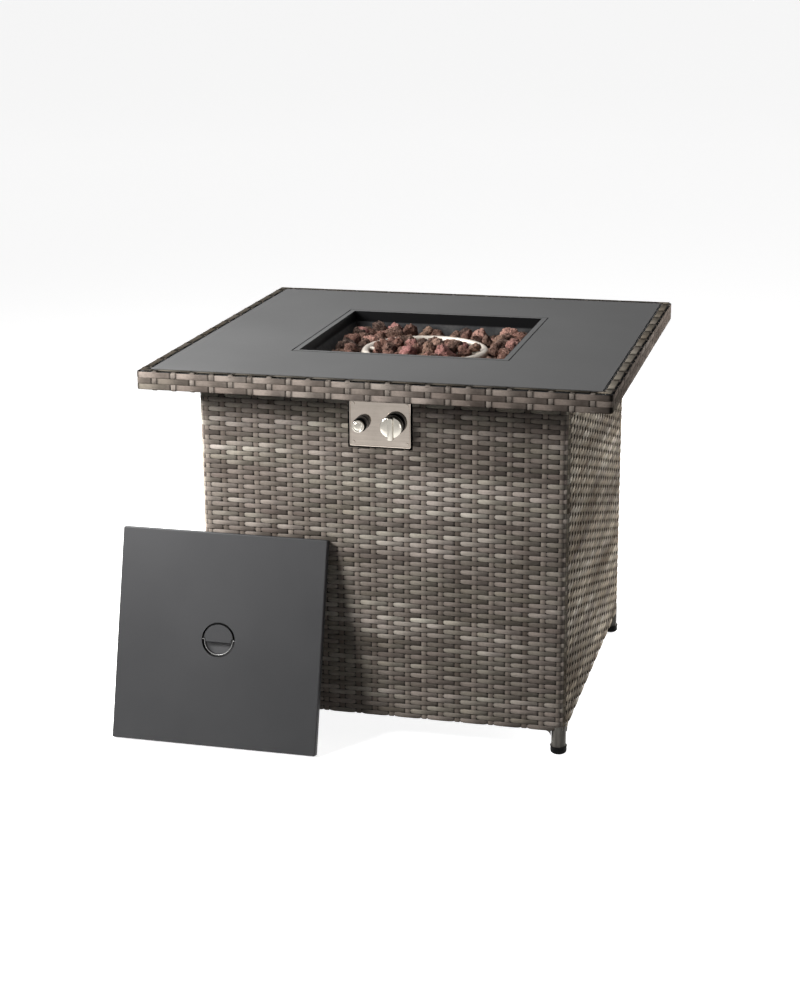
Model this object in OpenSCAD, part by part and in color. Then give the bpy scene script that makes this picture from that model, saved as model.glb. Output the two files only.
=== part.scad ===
// Square gas fire pit table: a woven body and rim on a tube frame, a steel top with a sunken
// fire bowl, a ring burner under lava rocks, a control plate and a lift-off lid leaning in front.
// Millimetres. The origin is on the floor under the table's centre, +Z up, the controls face -Y.

/* [Table] */
// Width of the square top over its woven rim
table_w = 762; // [720:1:820]
// Height of the top above the floor
table_h = 625; // [600:1:660]
// Width of the woven rim seen from above
rim_w = 18; // [16:0.5:22]
// Height of the woven rim
rim_h = 32; // [28:0.5:38]
// Rounding of the woven rim's edges
rim_round = 5; // [3:0.5:7]
// Thickness of the woven layer over its frame
weave_t = 4; // [3:0.25:5]

/* [Body] */
// Width of the square body over its weave
body_w = 610; // [580:1:640]
// Height of the body's lower edge above the floor
skirt_z = 41; // [36:1:60]
// Diameter of the corner posts
post_d = 16; // [14:0.5:18]
// Side of the square rails between the posts
rail_s = 16; // [14:0.5:18]
// Wall of the frame's tubes
tube_wall = 1.2; // [1:0.1:2]
// Height of the foot caps
cap_h = 17; // [14:0.5:22]
// Wall of the foot caps
cap_wall = 1.8; // [1.4:0.1:2.6]
// Floor of the foot caps
cap_floor = 4; // [3:0.5:6]
// Thickness of the tray that the gas bottle stands on
tray_t = 2; // [1.5:0.1:3]
// Diameter of the vent hole in the tray
tray_vent_d = 150; // [100:1:200]
// Length of the air slots along the tray's edges
tray_slot_l = 150; // [120:1:200]
// Width of the air slots along the tray's edges
tray_slot_w = 30; // [26:1:40]

/* [Top] */
// Thickness of the steel top panel
panel_t = 3; // [2.5:0.1:5]
// Dark gap between the top panel and the woven rim
panel_gap = 1.5; // [1:0.1:3]
// Side of the square bars under the top panel
bar_s = 20; // [16:0.5:24]
// Distance of each bar from the table's middle
bar_x = 215; // [205:1:225]
// Width of the ledge under the panel's edge
ledge_w = 18; // [12:0.5:24]
// Height of the ledge under the panel's edge
ledge_t = 6; // [4:0.5:10]
// Diameter of the bolts that hold the top on the body
bolt_d = 6; // [5:0.5:8]

/* [Fire bowl] */
// Width of the bowl's flange
flange_w = 366; // [362:1:372]
// Width of the bowl's opening
bowl_w = 345; // [338:1:350]
// Width of the bowl's floor
floor_w = 300; // [290:1:320]
// Depth of the bowl's straight collar
collar_h = 18; // [14:0.5:24]
// Depth of the bowl's floor below the top
bowl_depth = 54; // [50:0.5:58]
// Thickness of the bowl's sheet
sheet_t = 1.2; // [1:0.1:1.5]
// Diameter of the drain holes in the bowl's floor
drain_d = 8; // [6:0.5:12]
// Depth of the heat shield below the top
shield_drop = 97; // [95:1:105]

/* [Burner] */
// Outside diameter of the burner ring
ring_d = 220; // [205:1:230]
// Diameter of the burner ring's tube
ring_tube_d = 14; // [12:0.5:16]
// Depth of the ring's top below the table's top
ring_drop = 25; // [23:0.5:28]
// Number of gas ports in the ring
ring_ports = 24; // [12:1:36]
// Diameter of a gas port
port_d = 2; // [1.4:0.1:2.6]
// Diameter of the burner's hub
hub_d = 32; // [28:0.5:38]
// Diameter of the mixer tube under the hub
mixer_d = 20; // [18:0.5:22]
// Diameter of the feed pipe
feed_d = 10; // [8:0.5:11]
// Largest reach of one lava rock from its middle
rock_r = 18.5; // [15:0.5:19]

/* [Controls] */
// Width of the control plate
plate_w = 100; // [96:1:110]
// Height of the control plate
plate_h = 75; // [70:1:80]
// Depth of the controls below the top
control_drop = 85; // [80:1:87]
// How far the plate stands proud of the weave
plate_proud = 1.5; // [1:0.1:3]
// Gap in the weave round the control plate
notch_gap = 5; // [3:0.5:8]
// Place of the knob to the right of the middle
knob_x = 22.5; // [21:0.5:26]
// Diameter of the knob
knob_d = 36; // [32:0.5:40]
// Height of the knob's round base
knob_base = 9; // [8:0.5:12]
// Height of the knob's grip bar above its base
grip_h = 11; // [8:0.5:14]
// Width of the knob's grip bar
grip_w = 11; // [9:0.5:13]
// Travel of the knob when it is pushed in
knob_push = 4; // [2:0.5:5]
// Diameter of the valve's spindle
spindle_d = 8; // [7:0.5:9]
// Diameter of the gas inlet's thread
inlet_d = 15.88; // [12:0.01:18]
// Length of the gas inlet's thread
inlet_l = 18; // [14:0.5:22]
// Place of the igniter to the left of the middle
button_x = 30; // [28:0.5:32]
// Diameter of the igniter's collar
collar_d = 23; // [21:0.5:25]
// Length of the igniter's collar
collar_l = 14; // [12:0.5:18]
// Length of the igniter's button outside its collar
button_l = 10; // [8:0.5:12]
// Travel of the igniter's button
button_push = 4.5; // [3:0.5:5]

/* [Lid] */
// Width of the square lid
lid_w = 353; // [350:1:356]
// Depth of the lid's folded skirt
lid_depth = 12; // [10:0.5:16]
// Thickness of the lid's sheet
lid_t = 1.2; // [1:0.1:1.6]
// Place of the leaning lid's middle, left of the table's middle
lid_x = 263.5; // [200:0.5:280]
// Angle that the lid leans back
lid_lean = 15.5; // [12:0.5:20]
// Diameter of the round pull in the lid
pull_d = 58; // [52:0.5:64]
// Depth of the pull's cup
pull_depth = 11; // [9:0.5:14]
// Diameter of the pull's bail wire
bail_d = 3; // [2.5:0.25:3.5]

/* [Door] */
// Gap between the door and the wrapped posts
door_side_gap = 5; // [4:0.5:8]
// Gap between the door and the rails
door_end_gap = 5; // [4.5:0.5:8]
// Diameter of the hinge pins
pin_d = 6; // [5:0.5:8]
// Thickness of the hinge brackets
bracket_t = 3; // [2:0.5:3.5]
// Diameter of the door's pull
door_knob_d = 26; // [22:0.5:32]

/* [Hidden] */
$fn = 64;

// Colours
black_steel = [0.08, 0.08, 0.085];
wicker_grey = [0.45, 0.42, 0.39];
top_grey = [0.36, 0.36, 0.36];
lid_grey = [0.25, 0.25, 0.25];
stainless = [0.78, 0.77, 0.74];
brass = [0.72, 0.58, 0.3];
lava_brown = [0.42, 0.27, 0.23];
black_plastic = [0.06, 0.06, 0.06];
ceramic = [0.92, 0.9, 0.85];
copper = [0.7, 0.42, 0.28];

// Small clearances
eps = 0.01;
weld_gap = 0.1;
run_gap = 0.05;
slide_gap = 0.3;
cut = 1;

// Body frame
half = table_w / 2;
rim_in = half - rim_w;
body_half = body_w / 2;
face_in = body_half - weave_t;
post_r = post_d / 2;
post_c = face_in - post_r;
wrap_r = post_r + weave_t;
rail_c = face_in - rail_s / 2;
rail_end = min(post_c - post_r, face_in - rail_s) - weld_gap;
panel_z = table_h - panel_t;
bar_z = panel_z - bar_s;
rail_top = bar_z;
upper_z = rail_top - rail_s;
lower_z = skirt_z + weave_t;
lower_top = lower_z + rail_s;
leg_free = post_c - wrap_r;
cap_gap = 0.2;
cap_r = wrap_r + cap_gap + cap_wall;
cap_round = 5;

// Fire bowl and burner
bowl_half = bowl_w / 2;
seat_gap = 0.8;
collar_gap = 1;
floor_z = table_h - bowl_depth;
shield_z = table_h - shield_drop;
control_z = table_h - control_drop;
ring_tube_r = ring_tube_d / 2;
ring_r = ring_d / 2 - ring_tube_r;
ring_z = table_h - ring_drop - ring_tube_r;
spoke_r = 5;
mixer_r = mixer_d / 2;
mixer_wall = 2;
mixer_in_hub = 12;
mixer_arm = 80;
mixer_slot = [6, 20];
locknut_h = 6;
locknut_r = 17.5;
jet_l = 14;
jet_r = 8;
port_depth = 3;
drain_c = ring_r * sin(45);

// Electrode and thermocouple beside the ring, behind its front
pilot_y = -(ring_d / 2 + 20);
pilot_x = 14;
pilot_base = [44, 16, 2];
electrode_r = 3.5;
electrode_wire_r = 1;
probe_r = 2.5;
probe_top = floor_z + 34;
stem_drop = 20;
stem_hole_gap = 0.5;
lead_r = 1.25;
lead_bend = 6;

// Control plate and what it carries
box_t = 2;
box_front = -(face_in + box_t);
box_depth = 52;
box_side = plate_w / 2 - 4;
plate_front = -(body_half + plate_proud);
plate_t = 1;
plate_round = 3;
plate_low = control_z - plate_h / 2;
plate_high = control_z + plate_h / 2;
screw_r = 1.6;
screw_head_r = 3;
screw_head_h = 1.4;
screw_l = box_front - plate_front + box_t + 1.5;
screw_inset = 6;
box_screw_x = 36;
box_screw_drop = 6;
valve_r = 15;
valve_l = 39;
valve_back = -face_in + valve_l;
neck_r = spindle_d / 2 + 1;
knob_rest_gap = 0.8;
neck_end = plate_front - knob_rest_gap + slide_gap;
valve_screw_r = 2;
valve_screw_x = 10.5;
valve_screw_l = 8;
inlet_y = -face_in + 30;
inlet_hex_h = 7;
inlet_hex_r = inlet_d / 2 + 1.6;
inlet_top = control_z - valve_r - inlet_hex_h;
spindle_r = spindle_d / 2;
spindle_tip_r = 3;
spindle_flat = 1;
spindle_in = 33;
knob_back = plate_front - knob_push - knob_rest_gap;
knob_r = knob_d / 2;
core_r = knob_r - 1.4;
core_h = 5;
boss_r = 4.6;
boss_h = 8;
spindle_tip = knob_back - core_h - 3;
grip_up = knob_r - 1;
grip_down = knob_r + 2.5;
barrel_r = 9;
barrel_l = 46;
button_r = collar_d / 2 - 1.7;
button_floor = 2;
nut_h = 6;
nut_r = 14;

// Feed pipe
feed_r = feed_d / 2;
feed_bend = min(10, knob_x / 2 - eps);
feed_turn_y = valve_back + 70;
lead_z = control_z - feed_r - lead_r - 1;
jet_y = -mixer_arm - jet_l;

// Door
door_half = leg_free - door_side_gap;
door_low = lower_top + door_end_gap;
door_high = upper_z - door_end_gap;
door_tube = rail_s;
door_in = face_in - door_tube;
pin_r = pin_d / 2;
hinge_in = tube_wall + pin_r + slide_gap;
hinge_x = -(door_half - hinge_in);
hinge_y = face_in - hinge_in;
bracket_w = 18;
plug_h = 20;
magnet = [30, 9, 16];
magnet_x = door_half - 28;
catch_t = 1.5;
magnet_plate_t = 2;
door_knob_x = door_half - 22;
door_knob_z = (door_low + door_high) / 2;
door_knob_l = 18;

// Lid
floor_gap = 0.3;
lid_low = floor_gap + lid_depth * sin(lid_lean);
lid_y = -(body_half + slide_gap) - lid_w * sin(lid_lean) - lid_depth * cos(lid_lean);
pull_v = lid_w / 2;
pull_r = pull_d / 2;
pull_wall = 1.6;
cup_r = pull_r - 0.25;
cup_in = cup_r - pull_wall;
cup_lip = 4;
cup_lip_t = 1.5;
cup_floor = 1;
bail_r = bail_d / 2;
bail_pin_r = bail_r - 0.25;
bail_edge = 0.8;
bail_drop = 2;
bail_ring_r = cup_in - bail_r - bail_edge - bail_drop;
bail_w = -(bail_r + 0.5);
pull_plate_t = 1.5;
pull_plate_low = -3;
pull_notch = [5.5, 3.5];

// General shapes

module ring_tube(outer_r, inner_r, height) {
    difference() {
        cylinder(r = outer_r, h = height);
        translate([0, 0, -cut])
            cylinder(r = inner_r, h = height + 2 * cut);
    }
}

// Square tube along X, centred on its axis
module square_tube_x(length, side, wall) {
    difference() {
        cube([length, side, side], center = true);
        cube([length + 2 * cut, side - 2 * wall, side - 2 * wall], center = true);
    }
}

module rounded_rect(size, r) {
    square([size[0] - 2 * r, size[1]], center = true);
    square([size[0], size[1] - 2 * r], center = true);
    for (sx = [-1, 1], sy = [-1, 1])
        translate([sx * (size[0] / 2 - r), sy * (size[1] / 2 - r)])
            circle(r = r);
}

// Turns the children's Z axis towards the user, with their Y axis up
module facing_front() {
    rotate([90, 0, 0])
        children();
}

// Something on the control plate: depth y, with local Z pointing out at the user
module on_front(x, y, z) {
    translate([x, y, z])
        facing_front()
            children();
}

module four_sides() {
    for (i = [0 : 3])
        rotate(90 * i)
            children();
}

module at_posts() {
    for (sx = [-1, 1], sy = [-1, 1])
        translate([sx * post_c, sy * post_c, 0])
            children();
}

// One straight length and one quarter bend of a pipe that follows the axes
function unit(v) = v / norm(v);
function as_columns(x, y, z, at) = [
    [x[0], y[0], z[0], at[0]],
    [x[1], y[1], z[1], at[1]],
    [x[2], y[2], z[2], at[2]],
    [0, 0, 0, 1]];

module pipe_length(from, to, r) {
    z = unit(to - from);
    x = abs(z[2]) > 0.5 ? [1, 0, 0] : [0, 0, 1];
    multmatrix(as_columns(x, cross(z, x), z, from))
        cylinder(r = r, h = norm(to - from));
}

module pipe_bend(corner, way_in, way_out, bend_r, r) {
    centre = corner + (way_out - way_in) * bend_r;
    multmatrix(as_columns(-way_out, way_in, cross(-way_out, way_in), centre))
        rotate_extrude(angle = 90)
            translate([bend_r, 0])
                circle(r = r);
}

// Pipe through the given corners, each a right angle with the same bend
module pipe(points, bend_r, r) {
    last = len(points) - 1;
    for (i = [0 : last - 1]) {
        way = unit(points[i + 1] - points[i]);
        from = points[i] + (i == 0 ? 0 : bend_r) * way;
        to = points[i + 1] - (i == last - 1 ? 0 : bend_r) * way;
        pipe_length(from, to, r);
    }
    for (i = [1 : 1 : last - 1])
        pipe_bend(points[i], unit(points[i] - points[i - 1]), unit(points[i + 1] - points[i]), bend_r, r);
}

// Frame

module corner_posts() {
    color(black_steel)
        at_posts()
            translate([0, 0, cap_floor])
                ring_tube(post_r, post_r - tube_wall, rail_top - cap_floor);
}

module bolt_places() {
    for (sx = [-1, 1], sy = [-1, 1])
        translate([sx * bar_x, sy * rail_c, 0])
            children();
}

module rail_ring(low) {
    four_sides()
        translate([0, -rail_c, low + rail_s / 2])
            square_tube_x(2 * rail_end, rail_s, tube_wall);
}

module upper_rails() {
    color(black_steel)
        difference() {
            rail_ring(upper_z);
            bolt_places()
                translate([0, 0, upper_z - cut])
                    cylinder(r = bolt_d / 2 + slide_gap, h = rail_s + 2 * cut);
            box_screw_places()
                on_front(0, rail_s / 2 - face_in, 0)
                    cylinder(r = screw_r + run_gap, h = rail_s);
        }
}

module lower_rails() {
    color(black_steel)
        rail_ring(lower_z);
}

// Woven walls: a plain layer of the weave's true thickness, turned in under the lower rail

module woven_wall() {
    translate([-post_c, -body_half, skirt_z])
        cube([2 * post_c, weave_t, rail_top - skirt_z]);
    translate([-leg_free, -face_in - eps, skirt_z])
        cube([2 * leg_free, rail_s, weave_t - weld_gap]);
}

module front_wicker() {
    notch_w = plate_w + 2 * notch_gap;
    color(wicker_grey)
        difference() {
            woven_wall();
            translate([-notch_w / 2, -body_half - cut, plate_low - notch_gap])
                cube([notch_w, weave_t + 2 * cut, rail_top]);
        }
}

module right_wicker() {
    color(wicker_grey)
        rotate(90)
            woven_wall();
}

module left_wicker() {
    color(wicker_grey)
        rotate(270)
            woven_wall();
}

// The back keeps only the bands on its rails, because the door fills the rest
module back_wicker() {
    color(wicker_grey)
        rotate(180)
            intersection() {
                woven_wall();
                translate([0, 0, lower_top - rail_top])
                    union() {
                        translate([-rail_end, -body_w, 0])
                            cube([2 * rail_end, body_w, rail_top]);
                        translate([-rail_end, -body_w, rail_top + upper_z - lower_top])
                            cube([2 * rail_end, body_w, rail_top]);
                    }
            }
}

// Weave round a leg: whole below the walls, and only on the outer side above them
module front_wrap() {
    height = rail_top - cap_floor;
    difference() {
        translate([0, 0, cap_floor])
            ring_tube(wrap_r, post_r + weld_gap, height);
        translate([-2 * wrap_r, -2 * wrap_r, skirt_z])
            cube([2 * wrap_r, 4 * wrap_r, height]);
        translate([-cut, 0, skirt_z])
            cube([2 * wrap_r, 2 * wrap_r, height]);
    }
}

module back_wrap() {
    height = rail_top - cap_floor;
    difference() {
        translate([0, 0, cap_floor])
            ring_tube(wrap_r, post_r + weld_gap, height);
        translate([-2 * wrap_r, -2 * wrap_r, skirt_z])
            cube([4 * wrap_r, 2 * wrap_r, height]);
        translate([rail_end + weld_gap - post_c - 2 * wrap_r, -2 * wrap_r, skirt_z])
            cube([2 * wrap_r, 4 * wrap_r, height]);
    }
}

module leg_wraps() {
    color(wicker_grey) {
        for (i = [0, 3])
            rotate(90 * i)
                translate([post_c, -post_c, 0])
                    front_wrap();
        for (sx = [-1, 1])
            mirror([sx < 0 ? 1 : 0, 0, 0])
                translate([post_c, post_c, 0])
                    back_wrap();
    }
}

module foot_caps() {
    color(black_plastic)
        at_posts()
            rotate_extrude()
                difference() {
                    union() {
                        translate([0, cap_round])
                            square([cap_r, cap_h - cap_round]);
                        square([cap_r - cap_round, cap_round + eps]);
                        translate([cap_r - cap_round, cap_round])
                            circle(r = cap_round);
                    }
                    translate([0, cap_floor])
                        square([wrap_r + cap_gap, cap_h]);
                    translate([-cap_r, 0])
                        square([cap_r, cap_h]);
                }
}

module tank_tray() {
    reach = face_in - weld_gap;
    back = face_in - rail_s / 2;
    corner = 2 * wrap_r + rail_s / 2;
    color(black_steel)
        translate([0, 0, lower_top])
            difference() {
                translate([-reach, -reach, 0])
                    cube([2 * reach, reach + back, tray_t]);
                for (sx = [-1, 1], sy = [-1, 1])
                    translate([sx * face_in, sy * face_in, 0])
                        cube([2 * corner, 2 * corner, 4 * tray_t], center = true);
                translate([0, 0, -cut])
                    cylinder(d = tray_vent_d, h = tray_t + 2 * cut);
                for (i = [0, 1, 3])
                    rotate(90 * i)
                        translate([0, rail_s - face_in + tray_slot_w / 2, -cut])
                            linear_extrude(tray_t + 2 * cut)
                                rounded_rect([tray_slot_l, tray_slot_w], tray_slot_w / 3);
                translate([hinge_x, face_in, 0])
                    cube([2 * bracket_w, 2 * bracket_w + rail_s, 4 * tray_t], center = true);
            }
}

// Top

module rim_frame() {
    outer = half - weave_t;
    side = rim_w - 2 * weave_t;
    height = rim_h - 2 * weave_t;
    low = table_h - weave_t - height;
    color(black_steel)
        for (i = [0 : 3]) {
            length = i % 2 == 0 ? 2 * outer : 2 * (outer - side) - 2 * weld_gap;
            rotate(90 * i)
                translate([0, -outer + side / 2, low + height / 2])
                    difference() {
                        cube([length, side, height], center = true);
                        cube([length + 2 * cut, side - 2 * tube_wall, height - 2 * tube_wall], center = true);
                    }
        }
}

// One mitred side of the woven rim round its tube
module rim_side() {
    tube = [rim_w - 2 * weave_t + 2 * weld_gap, rim_h - 2 * weave_t + 2 * weld_gap];
    reach = half + cut;
    intersection() {
        translate([-half, -half + rim_w / 2, table_h - rim_h / 2])
            rotate([90, 0, 90])
                linear_extrude(table_w)
                    difference() {
                        rounded_rect([rim_w, rim_h], rim_round);
                        square(tube, center = true);
                    }
        translate([0, 0, table_h - rim_h - cut])
            linear_extrude(rim_h + 2 * cut)
                polygon([[weld_gap - reach, -reach], [reach - weld_gap, -reach], [0, -weld_gap]]);
    }
}

module rim_wicker() {
    color(wicker_grey)
        four_sides()
            rim_side();
}

module panel_ledge() {
    color(black_steel)
        for (i = [0 : 3]) {
            reach = i % 2 == 0 ? rim_in - weld_gap : rim_in - ledge_w - 2 * weld_gap;
            rotate(90 * i)
                translate([-reach, weld_gap - rim_in, panel_z - ledge_t])
                    cube([2 * reach, ledge_w, ledge_t]);
        }
}

module top_bars() {
    length = 2 * (rim_in - ledge_w) - 4 * weld_gap;
    color(black_steel)
        difference() {
            for (sx = [-1, 1])
                translate([sx * bar_x, 0, bar_z + bar_s / 2])
                    rotate(90)
                        square_tube_x(length, bar_s, tube_wall);
            bolt_places()
                translate([0, 0, bar_z - cut])
                    cylinder(r = bolt_d / 2 + slide_gap, h = bar_s / 2 + cut);
        }
}

module top_bolts() {
    head_h = 4;
    nut_low = bar_z + tube_wall;
    color(stainless)
        bolt_places() {
            translate([0, 0, upper_z - head_h])
                cylinder(r = bolt_d, h = head_h, $fn = 6);
            translate([0, 0, upper_z - eps])
                cylinder(r = bolt_d / 2, h = nut_low + head_h - upper_z);
            translate([0, 0, nut_low])
                cylinder(r = bolt_d, h = head_h, $fn = 6);
        }
}

module tabletop() {
    color(top_grey)
        difference() {
            translate([0, 0, panel_z])
                linear_extrude(panel_t)
                    square(2 * (rim_in - panel_gap), center = true);
            translate([0, 0, panel_z - cut])
                linear_extrude(panel_t + 2 * cut)
                    square(bowl_w + 2 * (sheet_t + collar_gap), center = true);
            translate([0, 0, table_h - sheet_t])
                linear_extrude(panel_t)
                    square(flange_w + 2 * seat_gap, center = true);
        }
}

// Fire bowl: flange and collar, then walls that slope in to the floor

module slope(top_half, top_z, low_half, low_z) {
    hull() {
        translate([0, 0, top_z - eps])
            linear_extrude(eps)
                square(2 * top_half, center = true);
        translate([0, 0, low_z])
            linear_extrude(eps)
                square(2 * low_half, center = true);
    }
}

module fire_bowl() {
    collar_z = table_h - collar_h;
    under = collar_z - sheet_t;
    color(black_steel)
        difference() {
            union() {
                translate([0, 0, table_h - sheet_t])
                    linear_extrude(sheet_t)
                        square(flange_w, center = true);
                translate([0, 0, under])
                    linear_extrude(collar_h)
                        square(bowl_w + 2 * sheet_t, center = true);
                slope(bowl_half + sheet_t, under + eps, floor_w / 2 + sheet_t, floor_z - sheet_t);
            }
            slope(bowl_half, collar_z + eps, floor_w / 2, floor_z);
            translate([0, 0, collar_z])
                linear_extrude(collar_h + cut)
                    square(bowl_w, center = true);
            translate([0, 0, floor_z - 2 * sheet_t]) {
                cylinder(r = mixer_r + stem_hole_gap, h = 4 * sheet_t);
                for (sx = [-1, 1], sy = [-1, 1])
                    translate([sx * drain_c, sy * drain_c, 0])
                        cylinder(d = drain_d, h = 4 * sheet_t);
                translate([-pilot_x, pilot_y, 0])
                    cylinder(r = electrode_r + stem_hole_gap, h = 4 * sheet_t);
                translate([pilot_x, pilot_y, 0])
                    cylinder(r = probe_r + stem_hole_gap, h = 4 * sheet_t);
            }
        }
}

// Ring burner with a spoke across it and a hub that stands on the bowl's floor
module burner_ring() {
    color(stainless)
        difference() {
            union() {
                translate([0, 0, ring_z])
                    rotate_extrude($fn = 128)
                        translate([ring_r, 0])
                            circle(r = ring_tube_r);
                translate([-ring_r, 0, ring_z])
                    rotate([0, 90, 0])
                        cylinder(r = spoke_r, h = 2 * ring_r);
                translate([0, 0, floor_z])
                    cylinder(d = hub_d, h = ring_z + ring_tube_r - floor_z);
            }
            translate([0, 0, floor_z - cut])
                cylinder(r = mixer_r + run_gap, h = mixer_in_hub + cut);
            for (i = [0 : ring_ports - 1])
                rotate(360 / ring_ports * (i + 0.5))
                    translate([ring_r, 0, ring_z + ring_tube_r - port_depth])
                        cylinder(d = port_d, h = port_depth + cut, $fn = 16);
        }
}

module burner_locknut() {
    color(brass)
        translate([0, 0, floor_z - sheet_t - locknut_h])
            difference() {
                cylinder(r = locknut_r, h = locknut_h, $fn = 6);
                translate([0, 0, -cut])
                    cylinder(r = mixer_r + run_gap, h = locknut_h + 2 * cut);
            }
}

// Mixer: an elbow with air slots that leads the gas up into the hub
module burner_mixer() {
    bore_r = mixer_r - mixer_wall;
    color(brass)
        difference() {
            union() {
                translate([0, 0, control_z])
                    cylinder(r = mixer_r, h = floor_z + mixer_in_hub - run_gap - control_z);
                translate([0, 0, control_z])
                    sphere(r = mixer_r);
                on_front(0, 0, control_z)
                    cylinder(r = mixer_r, h = mixer_arm);
            }
            translate([0, 0, control_z])
                cylinder(r = bore_r, h = bowl_depth + mixer_r);
            on_front(0, bore_r / 2, control_z)
                cylinder(r = bore_r, h = mixer_arm + mixer_r);
            translate([0, -mixer_arm + mixer_slot[1], control_z])
                cube([2 * mixer_d, mixer_slot[1], mixer_slot[0]], center = true);
        }
}

module gas_jet() {
    color(brass)
        on_front(0, -mixer_arm, control_z)
            difference() {
                union() {
                    cylinder(r = mixer_r + 1, h = jet_l / 2, $fn = 6);
                    translate([0, 0, -jet_l / 2])
                        cylinder(r = jet_r - 2 * run_gap, h = 1.5 * jet_l);
                }
                translate([0, 0, -jet_l])
                    cylinder(r = port_d, h = 3 * jet_l);
            }
}

module feed_pipe() {
    color(stainless)
        pipe([[knob_x, valve_back, control_z], [knob_x, feed_turn_y, control_z], [0, feed_turn_y, control_z],
            [0, jet_y, control_z]], feed_bend, feed_r);
}

// Lava rocks

function wobble(i, k) = 0.5 + 0.5 * sin(i * 137.5 + k * 71.3 + 40 * sin(i * 53.1 + k * 29.7));

rock_rings = 3;
rock_sides = 7;
rock_gap = 1;
rock_least = 0.8;

function rock_point(i, ring, side) =
    let (
        lift = 90 - 180 * ring / (rock_rings + 1),
        turn = 360 / rock_sides * (side + 0.5 * (ring % 2)) + 90 * wobble(i, 3),
        reach = rock_r * (rock_least + (1 - rock_least) * wobble(i, 10 * ring + side))
    )
    reach * [cos(lift) * cos(turn), cos(lift) * sin(turn), sin(lift)];

function rock_points(i) = concat(
    [rock_point(i, 0, 0)],
    [for (ring = [1 : rock_rings], side = [0 : rock_sides - 1]) rock_point(i, ring, side)],
    [rock_point(i, rock_rings + 1, 0)]);

function rock_at(ring, side) = 1 + (ring - 1) * rock_sides + side % rock_sides;

rock_faces = concat(
    [for (s = [0 : rock_sides - 1]) [0, rock_at(1, s + 1), rock_at(1, s)]],
    [for (ring = [1 : rock_rings - 1], s = [0 : rock_sides - 1])
        let (even = ring % 2 == 0)
        each [
            [rock_at(ring, s), rock_at(ring, s + 1), rock_at(ring + 1, even ? s : s + 1)],
            [rock_at(ring, even ? s + 1 : s), rock_at(ring + 1, s + 1), rock_at(ring + 1, s)]]],
    [for (s = [0 : rock_sides - 1])
        [1 + rock_rings * rock_sides, rock_at(rock_rings, s), rock_at(rock_rings, s + 1)]]);

module rock(i, at) {
    points = rock_points(i);
    low = min([for (p = points) p[2]]);
    translate([at[0], at[1], floor_z + run_gap - low])
        polyhedron(points, rock_faces);
}

rock_step = 2 * rock_r + rock_gap;
rock_edge = floor_w / 2 - rock_r - rock_gap;
rocks_a_side = floor(2 * rock_edge / rock_step);
rock_pitch = 2 * rock_edge / rocks_a_side;
rock_outer_r = ring_d / 2 + rock_r + rock_gap;
rock_inner_r = ring_d / 2 - ring_tube_d - rock_r - rock_gap;
rock_inner_start = asin((spoke_r + rock_r + rock_gap) / rock_inner_r);
rock_inner_step = 2 * asin(rock_step / 2 / rock_inner_r);
rocks_a_half = floor((180 - 2 * rock_inner_start) / rock_inner_step);
pilot_keep = rock_r + rock_gap + pilot_base[1] / 2;

function clear_of_pilot(p) =
    abs(p[1] - pilot_y) > pilot_keep || abs(p[0]) > pilot_base[0] / 2 + rock_r + rock_gap;

// A grid of rocks in the bowl outside the ring, and an arc of them inside it on each side of the spoke
rock_places = concat(
    [for (ix = [0 : rocks_a_side], iy = [0 : rocks_a_side])
        let (p = [ix * rock_pitch - rock_edge, iy * rock_pitch - rock_edge])
        if (norm(p) > rock_outer_r && clear_of_pilot(p)) p],
    [for (way = [0, 180], i = [0 : rocks_a_half])
        let (turn = way + rock_inner_start + (180 - 2 * rock_inner_start) / rocks_a_half * i)
        rock_inner_r * [cos(turn), sin(turn)]]);

module lava_rocks() {
    color(lava_brown)
        for (i = [0 : len(rock_places) - 1])
            rock(i, rock_places[i]);
}

// Spark electrode and flame sensor

module pilot_bracket() {
    color(stainless)
        difference() {
            translate([-pilot_base[0] / 2, pilot_y - pilot_base[1] / 2, floor_z])
                cube(pilot_base);
            translate([-pilot_x, pilot_y, floor_z - cut])
                cylinder(r = electrode_r + run_gap, h = 4 * cut);
            translate([pilot_x, pilot_y, floor_z - cut])
                cylinder(r = probe_r + run_gap, h = 4 * cut);
        }
}

stem_low = floor_z - sheet_t - stem_drop;

module spark_electrode() {
    tip = 8;
    color(ceramic)
        translate([-pilot_x, pilot_y, stem_low]) {
            cylinder(r = electrode_r, h = probe_top - stem_low);
            translate([0, 0, probe_top - stem_low - eps])
                cylinder(r = electrode_wire_r, h = tip);
        }
}

module thermocouple() {
    color(stainless)
        translate([pilot_x, pilot_y, stem_low]) {
            cylinder(r = probe_r, h = probe_top - stem_low - probe_r);
            translate([0, 0, probe_top - stem_low - probe_r])
                sphere(r = probe_r);
        }
}

module thermocouple_lead() {
    color(copper)
        pipe([[pilot_x, pilot_y, stem_low], [pilot_x, pilot_y, lead_z], [pilot_x, valve_back, lead_z]],
            lead_bend, lead_r);
}

module ignition_lead() {
    igniter_end = box_front + box_t + barrel_l;
    turn_y = igniter_end + 4 * lead_bend;
    color(black_plastic)
        pipe([[-pilot_x, pilot_y, stem_low], [-pilot_x, pilot_y, lead_z], [-pilot_x, turn_y, lead_z],
            [-button_x, turn_y, lead_z], [-button_x, igniter_end, lead_z]], lead_bend, lead_r);
}

// Folded sheet under the bowl, hung between the bars
module heat_shield() {
    side = bar_x - bar_s / 2;
    length = bowl_w + 30;
    color(stainless)
        difference() {
            translate([-side, -length / 2, shield_z])
                cube([2 * side, length, panel_z - shield_z - sheet_t]);
            translate([-side + sheet_t, -length, shield_z + sheet_t])
                cube([2 * (side - sheet_t), 2 * length, table_h]);
        }
}

// Controls

module screw(length) {
    cylinder(r = screw_head_r, h = screw_head_h);
    translate([0, 0, -length])
        cylinder(r = screw_r, h = length + eps);
}

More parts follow.
